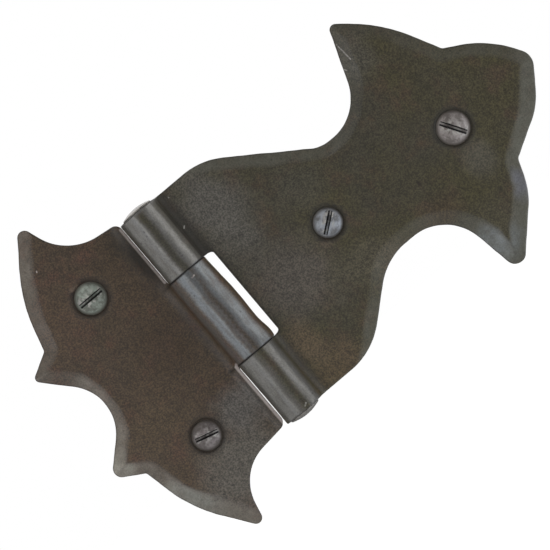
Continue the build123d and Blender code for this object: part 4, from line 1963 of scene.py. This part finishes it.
def long_leaf() -> Leaf:
    """The waisted leaf with the three-pointed tail and the two end knuckles.

    Returns:
        The leaf, ready to build.
    """
    roll = Roll()
    end = LONG_CUT - sum(roll.strip_lengths(LONG_CUT))
    tail = [corner.moved(TAIL_DATUM) for corner in TAIL]
    corners = [
        Corner(end, -HALF_BARREL),
        LOWER_SHOULDER,
        NECK_LOWER,
        *tail,
        NECK_UPPER,
        UPPER_SHOULDER,
        Corner(end, HALF_BARREL),
        Corner(end, HALF_WINDOW),
        Corner(WINDOW_EDGE, HALF_WINDOW, 0.8),
        Corner(WINDOW_EDGE, -HALF_WINDOW, 0.8),
        Corner(end, -HALF_WINDOW),
    ]
    bevelled = [
        Corner(-PAST_LEAF, -PAST_LEAF),
        beyond(NECK_LOWER, LOWER_SHOULDER, HALF_BARREL),
        NECK_LOWER,
        *tail,
        NECK_UPPER,
        beyond(NECK_UPPER, UPPER_SHOULDER, HALF_BARREL),
    ]
    return Leaf(
        name="long_leaf_forged",
        node="long_leaf",
        body="swinging_leaf",
        slot="long_leaf_steel",
        side=Side.RIGHT,
        finish=WaxedSteel(
            "waxed_forged_steel_olive",
            ground="#464027",
            drift="#433e2f",
            stain="#4b3a28",
            filed="#6f6d61",
            polished="#868480",
            patches=rows(
                Patch,
                (34, 18, 10, 17, "#5c5850", 0.95), (38, -6, 12, 12, "#595249", 0.9),
                (33, -27, 9, 6, "#5c4c35", 0.8), (30.5, -19, 5, 8, "#665640", 0.8),
                (58, -16, 6, 4, "#5a4d3a", 0.8), (72, -16, 8, 5, "#4a3d29", 0.9),
                (52, -13, 11, 6, "#554f3e", 0.8), (52, 9, 8, 8, "#4c483a", 0.7),
                (79, 24, 8, 9, "#524e42", 0.8), (81, -25, 7, 7, "#4c4633", 0.7),
                (87, -12, 5, 6, "#5c564a", 0.6), (73, -7.7, 0.5, 1.1, "#241a12", 0.9),
            ),
            # Painted light on the lit bevels, and browner painted shade on those turned away
            bevel_light_and_shade=rows(
                Patch,
                (78, -29, 7, 6, "#8a8e8e", 0.95), (90, -22, 4, 5, "#808086", 0.8),
                (72, -15, 6, 3, "#5d5748", 0.8),
            ),
            marks=rows(
                Mark,
                ((79.0, 28.1), (79.3, 23.6), 0.45), ((76.6, 22.9), (77.0, 22.3), 0.4),
                ((26.2, 18.7), (26.6, 19.1), 0.4), ((28.0, 26.2), (28.0, 26.6), 0.4),
                ((21.3, -29.1), (21.9, -28.7), 0.5),
            ),
        ),
        corners=corners,
        bevelled=bevelled,
        cut=LONG_CUT,
        sinks=[Sink(31.2, -0.3, 3.85), Sink(66.5, -2.2, 4.3)],
        bevel_flaws=rows(Flaw, (47, 16, 9, 5, 0.2), (84, -8, 7, 6, -0.3), (62, -28, 8, 8, -0.35)),
        barrel_flaws=[Flaw(-180, -22, 60, 9, -0.15)],
        flats=rows(Flat, (-127, 0.24), (-87, 0.13), (-59, 0.08)),
        hollow_turn=-25,
        # Polished bands on the knuckles, partly painted highlights
        polish=rows(
            Flaw,
            (-128, 20, 28, 20, 0.95), (-106, 20, 8, 20, 0.8), (-61, 20, 17, 20, 1.1),
            (-42, 20, 20, 20, 0.35), (-128, -20, 28, 20, 0.95), (-106, -20, 8, 20, 0.8),
            (-93, -20, 9, 20, 0.5), (-47, -20, 18, 20, 1.0), (-28, -20, 14, 20, 0.5),
            (-90, 29, 80, 0.7, 1.0),
        ),
        # Painted shade in bands down the knuckles' fronts
        knuckle_shade=rows(Flaw, (-84, 20, 9, 20, 0.55), (-75, -20, 7, 20, 0.5)),
        wear=[Flaw(67, -11, 4, 4, 0.3)],
        # Painted shade: bevels that face away from the lamps keep the wax's dark colour
        bevel_shade=rows(
            Flaw,
            (60, 24, 12, 15, 0.9), (76, 17, 12, 10, 0.75), (48, 16, 12, 8, 0.75),
            (86, 4, 6, 6, 0.5), (42, -15, 8, 5, 0.7), (53, -16, 7, 6, 0.95), (29, -18, 9, 8, 0.6),
        ),
        # Painted shade with dirt at the foot of the lower knuckle
        dirt_and_shade=rows(Flaw, (5.3, -20, 0.8, 12, 0.6), (6.2, -20, 1.1, 12, 0.75)),
        hollow_wax_and_shade=Flaw(6, 14, 60, 26, 1.0),
        seed=11.0,
        roll=roll,
    )


def main() -> None:
    """Builds the scene, one sub-assembly after another."""
    logging.basicConfig(level=logging.INFO, format="%(name)s: %(message)s")
    Studio().build()
    grey = ScrewSteel("blackened_screw_steel", "#b0b4ba")
    green = ScrewSteel("blackened_screw_steel_greenish", "#adb6aa")
    pink = ScrewSteel("blackened_screw_steel_warm", "#b3aaa6")
    dim = ScrewSteel("blackened_screw_steel_dim", "#9a9290")
    browns = ("#55514d", "#5a5752", "#4a423b")
    pin_steel = WaxedSteel("waxed_hammered_pin_steel", *browns, filed="#aaa59e", roughness=0.28)
    makers = [
        short_leaf(),
        long_leaf(),
        RivetedPin(pin_steel),
        WoodScrews(
            "short_leaf_wood_screws",
            "short_leaf_screws",
            "fixed_leaf",
            [Seat(-20.5, 21.1, 0.0, 0.95), Seat(-20.5, -19.3, -15.0, 0.87)],
            [green, dim],
        ),
        WoodScrews(
            "long_leaf_wood_screws",
            "long_leaf_screws",
            "swinging_leaf",
            [Seat(31.2, -0.3, 218.0, 0.87), Seat(66.5, -2.2, -58.0)],
            [grey, pink],
        ),
    ]
    for maker in makers:
        piece = maker.finished()
        mesh = piece.data
        LOG.info("%s: %d vertices, %d faces", piece.name, len(mesh.vertices), len(mesh.polygons))


if __name__ == "__main__":
    main()
